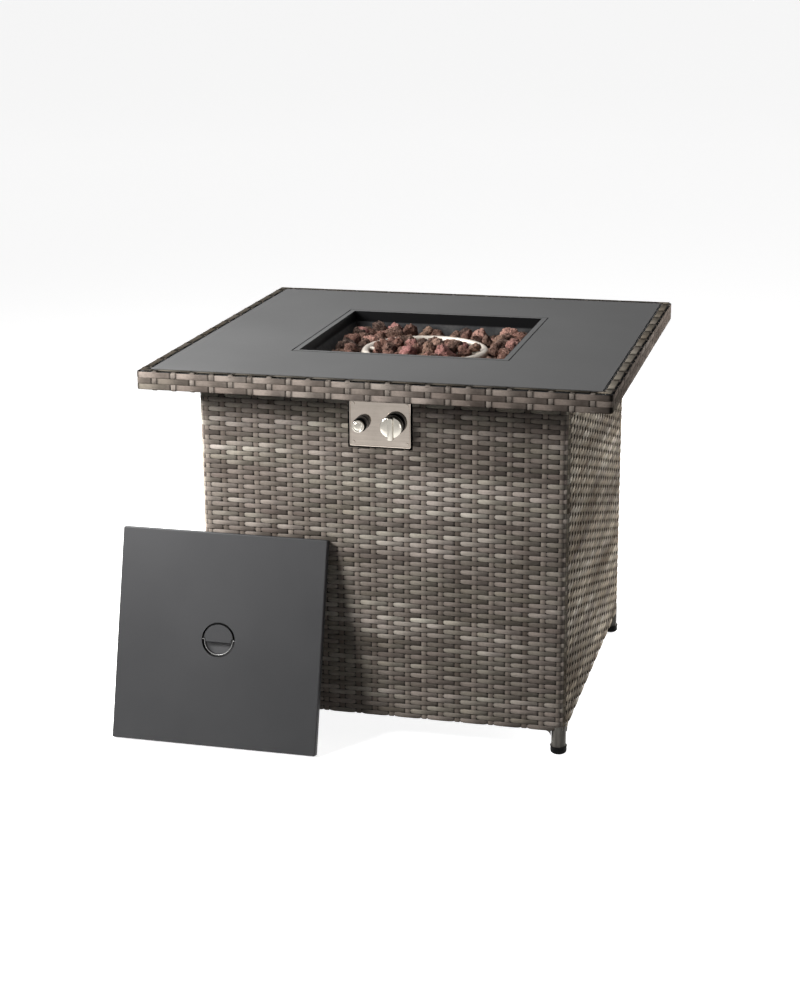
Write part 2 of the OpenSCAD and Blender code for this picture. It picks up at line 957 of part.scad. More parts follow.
module plate_screw_places() {
    for (sx = [-1, 1], sz = [-1, 1])
        translate([sx * (plate_w / 2 - screw_inset), 0, control_z + sz * (plate_h / 2 - screw_inset)])
            children();
}

module box_screw_places() {
    for (sx = [-1, 1])
        translate([sx * box_screw_x, 0, rail_top - box_screw_drop])
            children();
}

module panel_screws() {
    color(stainless) {
        plate_screw_places()
            on_front(0, plate_front, 0)
                screw(screw_l);
        box_screw_places()
            on_front(0, box_front, 0)
                screw(box_t + tube_wall);
    }
}

module valve_screw_places() {
    for (sx = [-1, 1])
        translate([knob_x + sx * valve_screw_x, 0, control_z])
            children();
}

module valve_screws() {
    color(stainless)
        valve_screw_places()
            on_front(0, box_front, 0) {
                cylinder(r = 1.6 * valve_screw_r, h = valve_screw_r / 2);
                translate([0, 0, -valve_screw_l])
                    cylinder(r = valve_screw_r, h = valve_screw_l + eps);
            }
}

// Steel box behind the control plate, screwed to the front rail
module control_box() {
    low = plate_low + 2;
    deep = 4 * box_t;
    color(black_steel)
        difference() {
            union() {
                translate([-box_side, box_front, low])
                    cube([2 * box_side, box_t, rail_top - low]);
                for (sx = [-1, 1])
                    translate([sx * (box_side - box_t / 2) - box_t / 2, box_front, low])
                        cube([box_t, box_depth, plate_high - low]);
            }
            on_front(knob_x, box_front + deep / 2, control_z)
                cylinder(r = neck_r + slide_gap, h = deep);
            on_front(-button_x, box_front + deep / 2, control_z)
                cylinder(r = barrel_r + slide_gap, h = deep);
            valve_screw_places()
                on_front(0, box_front + deep / 2, 0)
                    cylinder(r = valve_screw_r + run_gap, h = deep);
            plate_screw_places()
                on_front(0, box_front + deep / 2, 0)
                    cylinder(r = screw_r + run_gap, h = deep);
            box_screw_places()
                on_front(0, box_front + deep / 2, 0)
                    cylinder(r = screw_r + run_gap, h = deep);
            translate([-rail_c, -face_in - eps, upper_z - weld_gap])
                cube([2 * rail_c, box_depth, rail_s]);
        }
}

module control_plate() {
    pan = box_front - plate_front;
    color(stainless)
        on_front(0, box_front, control_z)
            difference() {
                linear_extrude(pan)
                    rounded_rect([plate_w, plate_h], plate_round);
                translate([0, 0, -cut])
                    linear_extrude(pan - plate_t + cut)
                        rounded_rect([plate_w - 2 * plate_t, plate_h - 2 * plate_t], plate_round - plate_t);
                translate([knob_x, 0, 0])
                    cylinder(r = neck_r + slide_gap, h = 2 * pan);
                translate([-button_x, 0, 0])
                    cylinder(r = barrel_r + slide_gap, h = 2 * pan);
                for (sx = [-1, 1], sz = [-1, 1])
                    translate([sx * (plate_w / 2 - screw_inset), sz * (plate_h / 2 - screw_inset), 0])
                        cylinder(r = screw_r + run_gap, h = 2 * pan);
            }
}

module gas_valve() {
    color(brass)
        difference() {
            union() {
                on_front(knob_x, valve_back, control_z)
                    cylinder(r = valve_r, h = valve_l);
                on_front(knob_x, -face_in, control_z)
                    cylinder(r = neck_r, h = -face_in - neck_end);
                translate([knob_x, inlet_y, inlet_top])
                    cylinder(r = inlet_hex_r, h = inlet_hex_h + valve_r, $fn = 6);
                translate([knob_x, inlet_y, inlet_top - inlet_l])
                    cylinder(d = inlet_d, h = inlet_l + eps);
            }
            on_front(knob_x, -face_in + spindle_in, control_z)
                cylinder(r = spindle_r + run_gap, h = spindle_in - neck_end);
            valve_screw_places()
                on_front(0, box_front + valve_screw_l + cut, 0)
                    cylinder(r = valve_screw_r + run_gap, h = valve_screw_l);
        }
}

module flatted_rod(r, flat, length) {
    difference() {
        cylinder(r = r, h = length);
        translate([-r, r - flat, -cut])
            cube([2 * r, 2 * r, length + 2 * cut]);
    }
}

module valve_spindle() {
    root = -face_in + spindle_in - slide_gap;
    color(brass) {
        on_front(knob_x, root, control_z)
            cylinder(r = spindle_r, h = root - neck_end);
        on_front(knob_x, neck_end + eps, control_z)
            flatted_rod(spindle_tip_r, spindle_flat, neck_end - spindle_tip);
    }
}

module knob_core() {
    color(black_plastic)
        on_front(knob_x, knob_back, control_z)
            difference() {
                union() {
                    cylinder(r = core_r, h = core_h);
                    cylinder(r = boss_r, h = core_h + boss_h);
                }
                translate([0, 0, -cut])
                    flatted_rod(spindle_tip_r + run_gap, spindle_flat, core_h + boss_h + 2 * cut);
            }
}

// Grip bar with round ends, longer on the side that points
module grip_outline() {
    r = grip_w / 2;
    translate([-r, -grip_down + r])
        square([grip_w, grip_up + grip_down - 2 * r]);
    for (y = [grip_up - r, r - grip_down])
        translate([0, y])
            circle(r = r);
}

module knob_shell() {
    edge = 1.5;
    color(stainless)
        on_front(knob_x, knob_back, control_z)
            difference() {
                union() {
                    cylinder(r = knob_r, h = knob_base - edge);
                    translate([0, 0, knob_base - edge - eps])
                        cylinder(r1 = knob_r, r2 = knob_r - edge, h = edge + eps);
                    translate([0, 0, core_h + cut])
                        linear_extrude(knob_base - core_h - cut + grip_h)
                            grip_outline();
                }
                translate([0, 0, -cut])
                    cylinder(r = core_r + run_gap, h = core_h + run_gap + cut);
                cylinder(r = boss_r + run_gap, h = core_h + boss_h + slide_gap);
            }
}

module igniter_body() {
    color(stainless)
        difference() {
            union() {
                on_front(-button_x, plate_front, control_z)
                    cylinder(d = collar_d, h = collar_l);
                on_front(-button_x, box_front + box_t + barrel_l, control_z)
                    cylinder(r = barrel_r, h = box_front + box_t + barrel_l - plate_front + eps);
            }
            on_front(-button_x, plate_front - button_floor, control_z)
                cylinder(r = button_r + slide_gap, h = collar_l);
        }
}

module igniter_nut() {
    color(stainless)
        on_front(-button_x, -face_in + nut_h, control_z)
            difference() {
                cylinder(r = nut_r, h = nut_h, $fn = 6);
                translate([0, 0, -cut])
                    cylinder(r = barrel_r + run_gap, h = nut_h + 2 * cut);
            }
}

module igniter_button() {
    edge = 1.5;
    length = collar_l - button_floor - button_push - slide_gap + button_l;
    color(stainless)
        on_front(-button_x, plate_front - button_floor - button_push - slide_gap, control_z)
            rotate_extrude() {
                square([button_r, length - edge]);
                square([button_r - edge, length]);
                intersection() {
                    translate([button_r - edge, length - edge])
                        circle(r = edge);
                    square([button_r, length]);
                }
            }
}

// Door at the back, which the gas bottle goes in through

module hinge_brackets() {
    depth = face_in - door_in;
    color(black_steel)
        for (low = [lower_top, upper_z - bracket_t])
            difference() {
                translate([hinge_x - bracket_w / 2, door_in + weld_gap, low])
                    cube([bracket_w, depth, bracket_t]);
                translate([hinge_x, hinge_y, low - cut])
                    cylinder(r = pin_r + run_gap, h = bracket_t + 2 * cut);
            }
}

module hinge_pins() {
    plug = door_tube - 2 * tube_wall - 2 * run_gap;
    stile_x = -(door_half - door_tube / 2);
    reach = door_end_gap - weld_gap;
    color(stainless)
        for (top = [false, true])
            translate([0, 0, top ? door_high : door_low])
                mirror([0, 0, top ? 0 : 1]) {
                    translate([stile_x - plug / 2, face_in - door_tube / 2 - plug / 2, -plug_h])
                        cube([plug, plug, plug_h]);
                    translate([hinge_x, hinge_y, -plug_h / 2])
                        cylinder(r = pin_r, h = plug_h / 2 + reach);
                }
}

module door_frame() {
    stile_l = door_high - door_low;
    cross_l = 2 * (door_half - door_tube) - 2 * weld_gap;
    y = face_in - door_tube / 2;
    middle = (door_low + door_high) / 2;
    color(black_steel) {
        for (sx = [-1, 1])
            translate([sx * (door_half - door_tube / 2), y, middle])
                rotate([0, 90, 0])
                    square_tube_x(stile_l, door_tube, tube_wall);
        for (z = [door_low + door_tube / 2, middle, door_high - door_tube / 2])
            translate([0, y, z])
                square_tube_x(cross_l, door_tube, tube_wall);
    }
}

module door_wicker() {
    color(wicker_grey)
        difference() {
            translate([-door_half, face_in, door_low])
                cube([2 * door_half, weave_t, door_high - door_low]);
            translate([door_knob_x, body_half, door_knob_z])
                rotate([90, 0, 0])
                    cylinder(r = screw_head_r + slide_gap, h = 4 * weave_t, center = true);
        }
}

// Turned pull on a stem that reaches the door's stile
module door_knob() {
    r = door_knob_d / 2;
    stem = weave_t + door_knob_l / 2;
    color(stainless)
        translate([door_knob_x, face_in, door_knob_z])
            rotate([-90, 0, 0]) {
                cylinder(r = screw_head_r, h = stem);
                translate([0, 0, stem - eps])
                    cylinder(r1 = r - 3, r2 = r, h = door_knob_l / 4);
                translate([0, 0, stem + door_knob_l / 4 - 2 * eps])
                    cylinder(r1 = r, r2 = r - 2, h = door_knob_l / 4);
            }
}

module door_magnet() {
    front = door_in - catch_t - slide_gap;
    color(black_plastic) {
        translate([magnet_x - magnet[0] / 2, front - magnet[1], door_high - magnet[2]])
            cube([magnet[0], magnet[1], magnet[2] + rail_top - door_high]);
        translate([magnet_x - magnet[0] / 2, front - eps, upper_z + weld_gap])
            cube([magnet[0], face_in - rail_s - front, rail_s - 2 * weld_gap]);
    }
}

module catch_plate() {
    color(stainless)
        translate([magnet_x - magnet[0] / 2, door_in - catch_t, door_high - magnet[2]])
            cube([magnet[0], catch_t, magnet[2] - slide_gap]);
}

// Lid: local X along its lower edge, local Y up its face, local Z out of its face

module in_lid() {
    translate([-lid_x, lid_y, lid_low])
        rotate([90 - lid_lean, 0, 0])
            children();
}

module in_pull() {
    in_lid()
        translate([0, pull_v, 0])
            children();
}

module lid_panel() {
    color(lid_grey)
        in_lid()
            difference() {
                translate([-lid_w / 2, 0, -lid_depth])
                    cube([lid_w, lid_w, lid_depth]);
                translate([-lid_w / 2 + lid_t, lid_t, -lid_depth - cut])
                    cube([lid_w - 2 * lid_t, lid_w - 2 * lid_t, lid_depth - lid_t + cut]);
                translate([0, pull_v, -2 * lid_t])
                    cylinder(r = pull_r, h = 4 * lid_t);
            }
}

// Round cup let into the lid, with a lip behind the sheet and holes for the bail's ends
module pull_cup() {
    color(lid_grey)
        in_pull()
            difference() {
                union() {
                    translate([0, 0, -pull_depth])
                        cylinder(r = cup_r, h = pull_depth);
                    translate([0, 0, -lid_t - cup_lip_t])
                        cylinder(r = pull_r + cup_lip, h = cup_lip_t);
                }
                translate([0, 0, -pull_depth + cup_floor])
                    cylinder(r = cup_in, h = pull_depth);
                translate([-cup_r, 0, bail_w])
                    rotate([0, 90, 0])
                        cylinder(r = bail_pin_r + run_gap, h = 2 * cup_r);
            }
}

// Half-moon plate that covers the cup's upper half
module pull_plate() {
    notch_x = bail_ring_r - pull_notch[0];
    color(lid_grey)
        in_pull()
            translate([0, 0, -pull_plate_t])
                linear_extrude(pull_plate_t)
                    difference() {
                        circle(r = cup_in - run_gap);
                        translate([-pull_d, pull_plate_low - pull_d])
                            square([2 * pull_d, pull_d]);
                        for (sx = [-1, 1])
                            translate([sx * (notch_x + pull_d / 2), 0])
                                square([pull_d, 2 * pull_notch[1]], center = true);
                    }
}

// Half ring whose ends turn out into the cup's wall
module pull_bail() {
    pin_end = cup_in + pull_wall - slide_gap;
    color(black_steel)
        in_pull()
            translate([0, 0, bail_w]) {
                translate([0, -bail_drop, 0])
                    rotate(180)
                        rotate_extrude(angle = 180)
                            translate([bail_ring_r, 0])
                                circle(r = bail_r);
                for (sx = [-1, 1])
                    translate([sx * bail_ring_r, -bail_drop, 0])
                        rotate([-90, 0, 0])
                            cylinder(r = bail_r, h = bail_drop + bail_r + slide_gap);
                for (sx = [-1, 1])
                    translate([sx * bail_ring_r, 0, 0])
                        rotate([0, sx * 90, 0])
                            cylinder(r = bail_pin_r, h = pin_end - bail_ring_r);
            }
}

corner_posts();
upper_rails();
lower_rails();
front_wicker();
left_wicker();
right_wicker();
back_wicker();
leg_wraps();
foot_caps();
tank_tray();
rim_frame();
rim_wicker();
panel_ledge();
top_bars();
top_bolts();
tabletop();
fire_bowl();
burner_ring();
burner_locknut();
burner_mixer();
gas_jet();
feed_pipe();
lava_rocks();
pilot_bracket();
spark_electrode();
thermocouple();
thermocouple_lead();
ignition_lead();
heat_shield();
control_box();
control_plate();
panel_screws();
gas_valve();
valve_screws();
valve_spindle();
knob_core();
knob_shell();
igniter_body();
igniter_nut();
igniter_button();
hinge_brackets();
door_magnet();
door_frame();
door_wicker();
hinge_pins();
catch_plate();
door_knob();
lid_panel();
pull_cup();
pull_plate();
pull_bail();
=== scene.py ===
"""Looks of a square gas fire pit table: woven body and rim, steel top, lava rock, controls and lid.

Pieces are modelled in millimetres, in the part's own frame, and scaled to metres when they are finished.
"""

import math
import random
from collections import namedtuple

import bmesh
import bpy
from mathutils import Matrix, Vector


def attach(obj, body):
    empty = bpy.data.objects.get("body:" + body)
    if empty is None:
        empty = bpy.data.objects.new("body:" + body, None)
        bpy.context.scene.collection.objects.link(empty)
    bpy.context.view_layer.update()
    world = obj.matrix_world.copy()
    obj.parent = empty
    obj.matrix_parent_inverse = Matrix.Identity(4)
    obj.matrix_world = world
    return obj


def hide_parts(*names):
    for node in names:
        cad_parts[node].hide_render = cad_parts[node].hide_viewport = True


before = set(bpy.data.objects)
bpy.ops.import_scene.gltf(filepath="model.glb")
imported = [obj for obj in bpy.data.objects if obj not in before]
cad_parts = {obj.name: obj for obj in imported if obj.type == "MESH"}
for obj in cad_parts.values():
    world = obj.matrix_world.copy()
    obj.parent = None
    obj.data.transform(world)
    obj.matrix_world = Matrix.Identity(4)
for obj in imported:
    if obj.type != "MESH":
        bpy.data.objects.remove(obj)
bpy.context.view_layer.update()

AXES = {"X": Vector((1, 0, 0)), "Y": Vector((0, 1, 0)), "Z": Vector((0, 0, 1))}
FORWARD, UPRIGHT, SIDEWAYS = (math.radians(90), 0, 0), (0, 0, 0), (0, math.radians(90), 0)
TOP_Z = 625.0
BODY_LOW, BODY_HIGH = 41.0, 602.0
POST = 293.0
WALL_PLANE, LINER_PLANE = 303.0, 301.25
NOTCH, NOTCH_LOW = 53.2, 499.5
DOOR_HALF, DOOR_LOW, DOOR_HEIGHT = 285.0, 66.0, 515.0
DOOR_Z = DOOR_LOW + DOOR_HEIGHT / 2
RIM_PLANE, RIM_MIDDLE, RIM_Z = 379.4, 372.0, 609.0
CONTROL_Z, KNOB_X, BUTTON_X = 540.0, 22.5, -30.0
LID = 353.0
LID_LEAN = math.radians(15.5)
LID_FOOT = Vector((-263.5, -411.199, 3.507))
PULL = Vector((0, LID / 2, 0))


# Modelling by hand

def leave_edit():
    if bpy.context.object and bpy.context.object.mode != "OBJECT":
        bpy.ops.object.mode_set(mode="OBJECT")


def alone(*pieces):
    """Selects only these pieces, the first one active."""
    leave_edit()
    bpy.ops.object.select_all(action="DESELECT")
    for piece in pieces:
        piece.select_set(True)
    bpy.context.view_layer.objects.active = pieces[0]
    return pieces[0]


def settle():
    """Makes a piece's place, turn and size part of its mesh."""
    bpy.ops.object.transform_apply(location=True, rotation=True, scale=True)


def start(name, add, **how):
    """Adds a primitive at its size and place and opens it in edit mode, all selected."""
    leave_edit()
    add(**how)
    piece = bpy.context.object
    piece.name = piece.data.name = name
    settle()
    bpy.ops.object.mode_set(mode="EDIT")
    return piece


def everything():
    bpy.ops.mesh.select_all(action="SELECT")


def edit(piece):
    alone(piece)
    bpy.ops.object.mode_set(mode="EDIT")
    everything()
    return piece


def block(name, size, at):
    piece = start(name, bpy.ops.mesh.primitive_cube_add, size=1)
    grow(*size)
    shift(*at)
    return piece


def board(name, wide, high, y, z):
    """A flat sheet that faces the front."""
    piece = start(name, bpy.ops.mesh.primitive_plane_add, size=1, rotation=FORWARD)
    grow(wide, 1, high)
    shift(0, y, z)
    return piece


def drum(name, at, radius, depth, vertices=64, way=FORWARD, **how):
    return start(name, bpy.ops.mesh.primitive_cylinder_add, vertices=vertices, radius=radius, depth=depth,
                 location=at, rotation=way, **how)


def pick(test, kind="VERT"):
    """Selects the points, edges or faces whose middle and direction pass the test."""
    bpy.ops.mesh.select_mode(type=kind)
    bpy.ops.mesh.select_all(action="DESELECT")
    data = bpy.context.object.data
    mesh = bmesh.from_edit_mesh(data)
    if kind == "VERT":
        found = [p for p in mesh.verts if test(p.co, p.normal)]
    elif kind == "EDGE":
        found = [e for e in mesh.edges
                 if test((e.verts[0].co + e.verts[1].co) / 2, (e.verts[1].co - e.verts[0].co).normalized())]
    else:
        found = [f for f in mesh.faces if test(f.calc_center_median(), f.normal)]
    for part in found:
        part.select_set(True)
    mesh.select_flush_mode()
    bmesh.update_edit_mesh(data)
    return len(found)


def shift(x=0.0, y=0.0, z=0.0):
    bpy.ops.transform.translate(value=(x, y, z))


def grow(x=1.0, y=1.0, z=1.0, about=(0, 0, 0)):
    bpy.ops.transform.resize(value=(x, y, z), center_override=about)


def turn(degrees, axis="Z", about=(0, 0, 0)):
    """Turns what is selected anticlockwise about an axis."""
    bpy.ops.transform.rotate(value=-math.radians(degrees), orient_axis=axis, center_override=about)


def draw_out(x=0.0, y=0.0, z=0.0):
    bpy.ops.mesh.extrude_region_move(TRANSFORM_OT_translate={"value": (x, y, z)})


def bevel(width, segments):
    bpy.ops.mesh.bevel(offset=width, segments=segments, affect="EDGES")


def inset(width):
    bpy.ops.mesh.inset(thickness=width)


def terraces(*steps):
    """Insets the front face by each step's width and moves it along Y by the step's second number."""
    pick(lambda at, way: way.y < -0.9, "FACE")
    for width, along in steps:
        inset(width)
        shift(0, along)


def drop(test, kind="FACE"):
    if pick(test, kind):
        bpy.ops.mesh.delete(type=kind)


def cut(at, way, keep_inner=True):
    """Cuts the whole mesh with a plane and keeps one side of it."""
    everything()
    bpy.ops.mesh.bisect(plane_co=at, plane_no=way, clear_outer=keep_inner, clear_inner=not keep_inner)


def loop_at(axis, place):
    """Cuts a loop round the whole mesh, square to an axis."""
    everything()
    bpy.ops.mesh.bisect(plane_co=AXES[axis] * place, plane_no=AXES[axis])


def apply(piece, kind, **settings):
    alone(piece)
    modifier = piece.modifiers.new(kind.lower(), kind)
    for name, value in settings.items():
        setattr(modifier, name, value)
    bpy.ops.object.modifier_apply(modifier=modifier.name)
    return piece


def row_of(piece, count, step, **lay):
    return apply(piece, "ARRAY", count=count, use_relative_offset=False, use_constant_offset=True,
                 constant_offset_displace=step, **lay)


def copy_of(piece, name):
    alone(piece)
    bpy.ops.object.duplicate()
    made = bpy.context.object
    made.name = made.data.name = name
    return made


def turned(piece, name, degrees):
    made = edit(copy_of(piece, name))
    turn(degrees)
    return made


def join(name, pieces):
    whole = alone(*pieces)
    if len(pieces) > 1:
        bpy.ops.object.join()
    whole.name = whole.data.name = name
    return whole


def carve(piece, tool):
    apply(piece, "BOOLEAN", operation="DIFFERENCE", object=tool, solver="EXACT")
    bpy.data.objects.remove(tool)


def round_the_table(piece, name):
    """Four copies of a front piece, one for each side, in one object."""
    return join(name, [piece] + [turned(piece, name, 90 * i) for i in (1, 2, 3)])


def rounded(piece, width, segments=3):
    return apply(piece, "BEVEL", width=width, segments=segments, limit_method="ANGLE",
                 angle_limit=math.radians(40))


def outwards(piece):
    edit(piece)
    bpy.ops.mesh.remove_doubles(threshold=0.001)
    bpy.ops.mesh.normals_make_consistent(inside=False)
    return piece


def hold(name, data):
    """A new object in the scene for a line, a light or a camera."""
    holder = bpy.data.objects.new(name, data)
    bpy.context.collection.objects.link(holder)
    return holder


def fit(piece, material, body="table", stands_for="", smooth=35):
    """Scales a finished piece to metres, gives it its finish and sets it on its body."""
    alone(piece)
    piece.scale = (0.001, 0.001, 0.001)
    settle()
    bpy.ops.object.shade_smooth_by_angle(angle=math.radians(smooth))
    piece.data.materials.clear()
    piece.data.materials.append(material)
    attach(piece, body)
    if stands_for:
        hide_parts(stands_for)


# Weaves: their counts, then sizes in millimetres, and how a float is shaped along its unit

Weave = namedtuple("Weave", "units rows pitch row low width plane rise crown edge dip taper stake stake_plane")

body_weave = Weave(units=11, rows=70, pitch=27.9, row=(BODY_HIGH - BODY_LOW) / 70, low=BODY_LOW, width=8.1,
                   plane=0.85, rise=1.25, crown=0.7, edge=0.40, dip=0.1, taper=0.42, stake=8.4, stake_plane=0.75)
door_weave = body_weave._replace(units=10, rows=64, pitch=27.6, row=DOOR_HEIGHT / 64, low=DOOR_LOW)
rim_weave = Weave(units=13, rows=3, pitch=31.8, row=9.5, low=594.7, width=9.5, plane=0.5, rise=0.7, crown=0.35,
                  edge=0.44, dip=0.1, taper=0.0, stake=7.4, stake_plane=0.5)
rim_top_weave = rim_weave._replace(rows=1, row=12.8, low=0.0, width=11.0, plane=0.75, rise=0.3, crown=0.5, dip=-0.3)


# Finishes

def srgb(red, green, blue):
    linear = [((c / 255 + 0.055) / 1.055) ** 2.4 if c > 10 else c / 255 / 12.92 for c in (red, green, blue)]
    return (*linear, 1.0)


def grey(level):
    return srgb(level, level, level)


class Num:
    """A number over a surface. Operators on it add Math nodes."""

    def __init__(self, finish, socket):
        self.finish = finish
        self.socket = socket

    def math(self, operation, *terms):
        return self.finish.num("Math", {"operation": operation}, dict(enumerate(terms)))

    def __add__(self, other):
        return self.math("ADD", self, other)

    def __sub__(self, other):
        return self.math("SUBTRACT", self, other)

    def __rsub__(self, other):
        return self.math("SUBTRACT", other, self)

    def __mul__(self, other):
        return self.math("MULTIPLY", self, other)

    def __pow__(self, other):
        return self.math("POWER", self, other)

    __radd__ = __add__
    __rmul__ = __mul__

    def floor(self):
        return self.math("FLOOR", self)

    def fract(self):
        return self.math("FRACT", self)

    def sine(self):
        return self.math("SINE", self)

    def size(self):
        return self.math("ABSOLUTE", self)

    def most(self, other):
        return self.math("MAXIMUM", self, other)

    def between(self, low, high):
        """0 at low, 1 at high, held there outside."""
        return self.finish.num("MapRange", {"interpolation_type": "SMOOTHSTEP"},
                               {"Value": self, "From Min": low, "From Max": high})


class Finish:
    """One material: its shader's fixed values, and the nodes that vary over the surface."""

    def __init__(self, name, **fixed):
        self.material = bpy.data.materials.new(name)
        self.material.use_nodes = True
        self.tree = self.material.node_tree
        self.shader = next(n for n in self.tree.nodes if n.type == "BSDF_PRINCIPLED")
        self.done(**fixed)

    def put(self, socket, value):
        if isinstance(value, Num):
            value = value.socket
        if isinstance(value, bpy.types.NodeSocket):
            self.tree.links.new(value, socket)
        else:
            socket.default_value = value

    def node(self, kind, settings=None, sockets=None):
        made = self.tree.nodes.new("ShaderNode" + kind)
        for name, value in (settings or {}).items():
            if name == "stops":
                ramp = made.color_ramp.elements
                while len(ramp) < len(value):
                    ramp.new(0.5)
                for stop, (place, colour) in zip(ramp, value):
                    stop.position = place
                    stop.color = colour
            else:
                setattr(made, name, value)
        for key, value in (sockets or {}).items():
            self.put(made.inputs[key], value)
        return made

    def num(self, kind, settings=None, sockets=None, out=0):
        return Num(self, self.node(kind, settings, sockets).outputs[out])

    def place(self):
        return self.node("TexCoord").outputs["Object"]

    def along(self):
        return self.node("UVMap", {"uv_map": "weave"}).outputs[0]

    def parts(self, vector):
        split = self.node("SeparateXYZ", None, {0: vector})
        return [Num(self, out) for out in split.outputs]

    def vector(self, x, y, z):
        return self.node("CombineXYZ", None, {0: x, 1: y, 2: z}).outputs[0]

    def stretched(self, vector, scale):
        return self.node("Mapping", None, {"Vector": vector, "Scale": scale}).outputs[0]

    def noise(self, vector, scale, detail=3.0, rough=0.55):
        return self.num("TexNoise", None,
                        {"Vector": vector, "Scale": scale, "Detail": detail, "Roughness": rough})

    def cells(self, vector, scale):
        return self.num("TexVoronoi", None, {"Vector": vector, "Scale": scale})

    def chance(self, number):
        return self.num("TexWhiteNoise", {"noise_dimensions": "1D"}, {"W": number})

    def mark(self, name):
        return self.num("Attribute", {"attribute_name": name}, None, 2)

    def mix(self, amount, first, second, how="MIX"):
        return self.node("Mix", {"data_type": "RGBA", "blend_type": how},
                         {0: amount, 6: first, 7: second}).outputs[2]

    def ramp(self, number, *stops):
        return self.node("ValToRGB", {"stops": stops}, {0: number}).outputs[0]

    def shade(self, colour, amount):
        """The colour times a number."""
        return self.node("VectorMath", {"operation": "SCALE"}, {0: colour, "Scale": amount}).outputs[0]

    def bump(self, height, strength, depth):
        return self.node("Bump", None,
                         {"Strength": strength, "Distance": depth, "Height": height}).outputs[0]

    def done(self, **sockets):
        for socket, value in sockets.items():
            self.put(self.shader.inputs[socket.replace("_", " ")], value)
        return self.material


def woven_resin(name, weave, length, seed, lift=1.0, green=0.0, spread=1.0, sweep=0.18, slots=(0.7, 0.92, 0.7),
                gloss=0.0, bend=0.0, right=0.0):
    """Flat resin strand: dyed in slow changes along it, painted light on the left of each float, painted shade where
    it dives and along its edges.

    Lift and green move its colour, spread its range and sweep the painted light along a float. Slots are where the
    painted shade of a dive begins, where it ends and how dark it is. Bend and right paint light round the corners
    and on the right.
    """
    f = Finish(name, Specular_IOR_Level=gloss)
    u, v, w = f.parts(f.along())
    row = (v * weave.rows).floor()
    across = (v * weave.rows).fract() * 2.0 - 1.0

    def dyed(stretch, row_step, away):
        return f.noise(f.vector(u * (length / stretch), row * row_step, seed + away), 1.0, 2.0)

    def grained(stretch, per_row, away, detail):
        return f.noise(f.vector(u * (length / stretch), v * (weave.rows * per_row), seed + away), 1.0, detail, 0.7)

    own = f.chance(row * 1.37 + seed)
    bands = dyed(0.32, 0.17, 0.0).between(0.3, 0.7)
    dye = dyed(0.13, 3.7, 9.0).between(0.28, 0.72)
    level = ((bands - 0.5) * 0.42 + (dye - 0.5) * 0.30 + (own - 0.5) * 0.24) * spread + 0.5
    tone = f.ramp(level, (0.0, srgb(64, 58, 54)), (0.28, srgb(87, 80, 75)), (0.52, srgb(111, 104, 98)),
                  (0.76, srgb(139, 132, 126)), (1.0, srgb(166, 159, 153)))
    hue = dyed(0.17, 0.42, 21.0) + green
    tint = f.ramp(hue, (0.3, srgb(255, 249, 246)), (0.45, srgb(254, 251, 248)), (0.6, srgb(250, 252, 244)),
                  (0.75, srgb(254, 251, 238)))
    threads = grained(0.02, 7.0, 0.0, 4.0)
    mottle = grained(0.005, 2.6, 3.0, 3.0)
    turn_round = (u * weave.units + row.math("MODULO", row, 2.0) * 0.5) * (2 * math.pi)
    wave = turn_round.sine()
    left = (turn_round + 0.5 * math.pi).sine()
    begins, ends, dark = slots
    dive = (wave * -1.0).between(begins, ends)
    edge = across.size() ** 6.0
    # Threads and mottle are grain. Left and sweep paint light on the left of each float, dive paints shade where the
    # strand goes under a stake, and edge paints shade along the strand's edges.
    shade = (0.4 + threads * 0.54 + mottle * 0.66) * (1.0 + left * sweep) * (1.0 - dive * dark) * (1.0 - edge * 0.5)
    # Painted light on the arcs round the corners.
    shade = shade * (1.0 + (u - 0.5).size().between(0.490, 0.494) * bend)
    # Painted light on the right side, used for the rim's top strip.
    if right:
        x, y, z = f.parts(f.place())
        shade = shade * (1.0 + x.between(0.352, 0.362) * right)
    colour = f.shade(f.mix(1.0, tone, tint, "MULTIPLY"), shade * lift)
    height = wave * 0.0022 + threads * 0.00035 + mottle * 0.0002 - edge * 0.0005
    return f.done(Base_Color=colour, Roughness=0.44 + threads * 0.2, Normal=f.bump(height, 0.8, 1.0))


def stake_resin(name, count, dark, light, rows=0):
    """The upright strands, each with its own tone, with painted shade at their sides and where the rows close over
    them.
    """
    f = Finish(name, Specular_IOR_Level=0.0)
    u, v, w = f.parts(f.along())
    stake = (u * count).floor()
    across = (u * count).fract() * 2.0 - 1.0
    own = f.chance(stake * 1.91 + 3.3)
    patch = f.noise(f.vector(stake * 2.3, v * 6.0, 4.0), 1.0, 2.0).between(0.3, 0.7)
    threads = f.noise(f.vector(u * (count * 7.0), v * 70.0, 2.0), 1.0, 4.0, 0.7)
    tone = f.mix(own * 0.6 + patch * 0.4, dark, light)
    # Painted shade at each strand's sides.
    shade = (0.72 + threads * 0.56) * (1.0 - across.size() ** 6.0 * 0.35)
    if rows:
        # Painted shade where the rows close over the strand.
        within = (v * rows).fract() * 2.0 - 1.0
        shade = shade * (1.0 - within.size() ** 6.0 * 0.5)
    else:
        # Painted shade where the strands pass over the top of the rim.
        x, y, z = f.parts(f.place())
        shade = shade * (1.0 - z.between(0.6228, 0.6242) * 0.45)
    return f.done(Base_Color=f.shade(tone, shade), Roughness=0.46 + threads * 0.2,
                  Normal=f.bump(threads, 0.5, 0.0004))


def plain_resin(name, dark, light, ridges):
    """Strands that run up a leg or an edge, marked by place."""
    f = Finish(name, Specular_IOR_Level=0.35)
    place = f.place()
    patch = f.noise(f.stretched(place, (60.0, 60.0, 18.0)), 1.0, 3.0)
    threads = f.noise(f.stretched(place, ridges), 1.0, 4.0, 0.7)
    colour = f.shade(f.ramp(patch, (0.3, dark), (0.7, light)), 0.8 + threads * 0.4)
    return f.done(Base_Color=colour, Roughness=0.45 + threads * 0.2, Normal=f.bump(threads, 0.5, 0.0004))


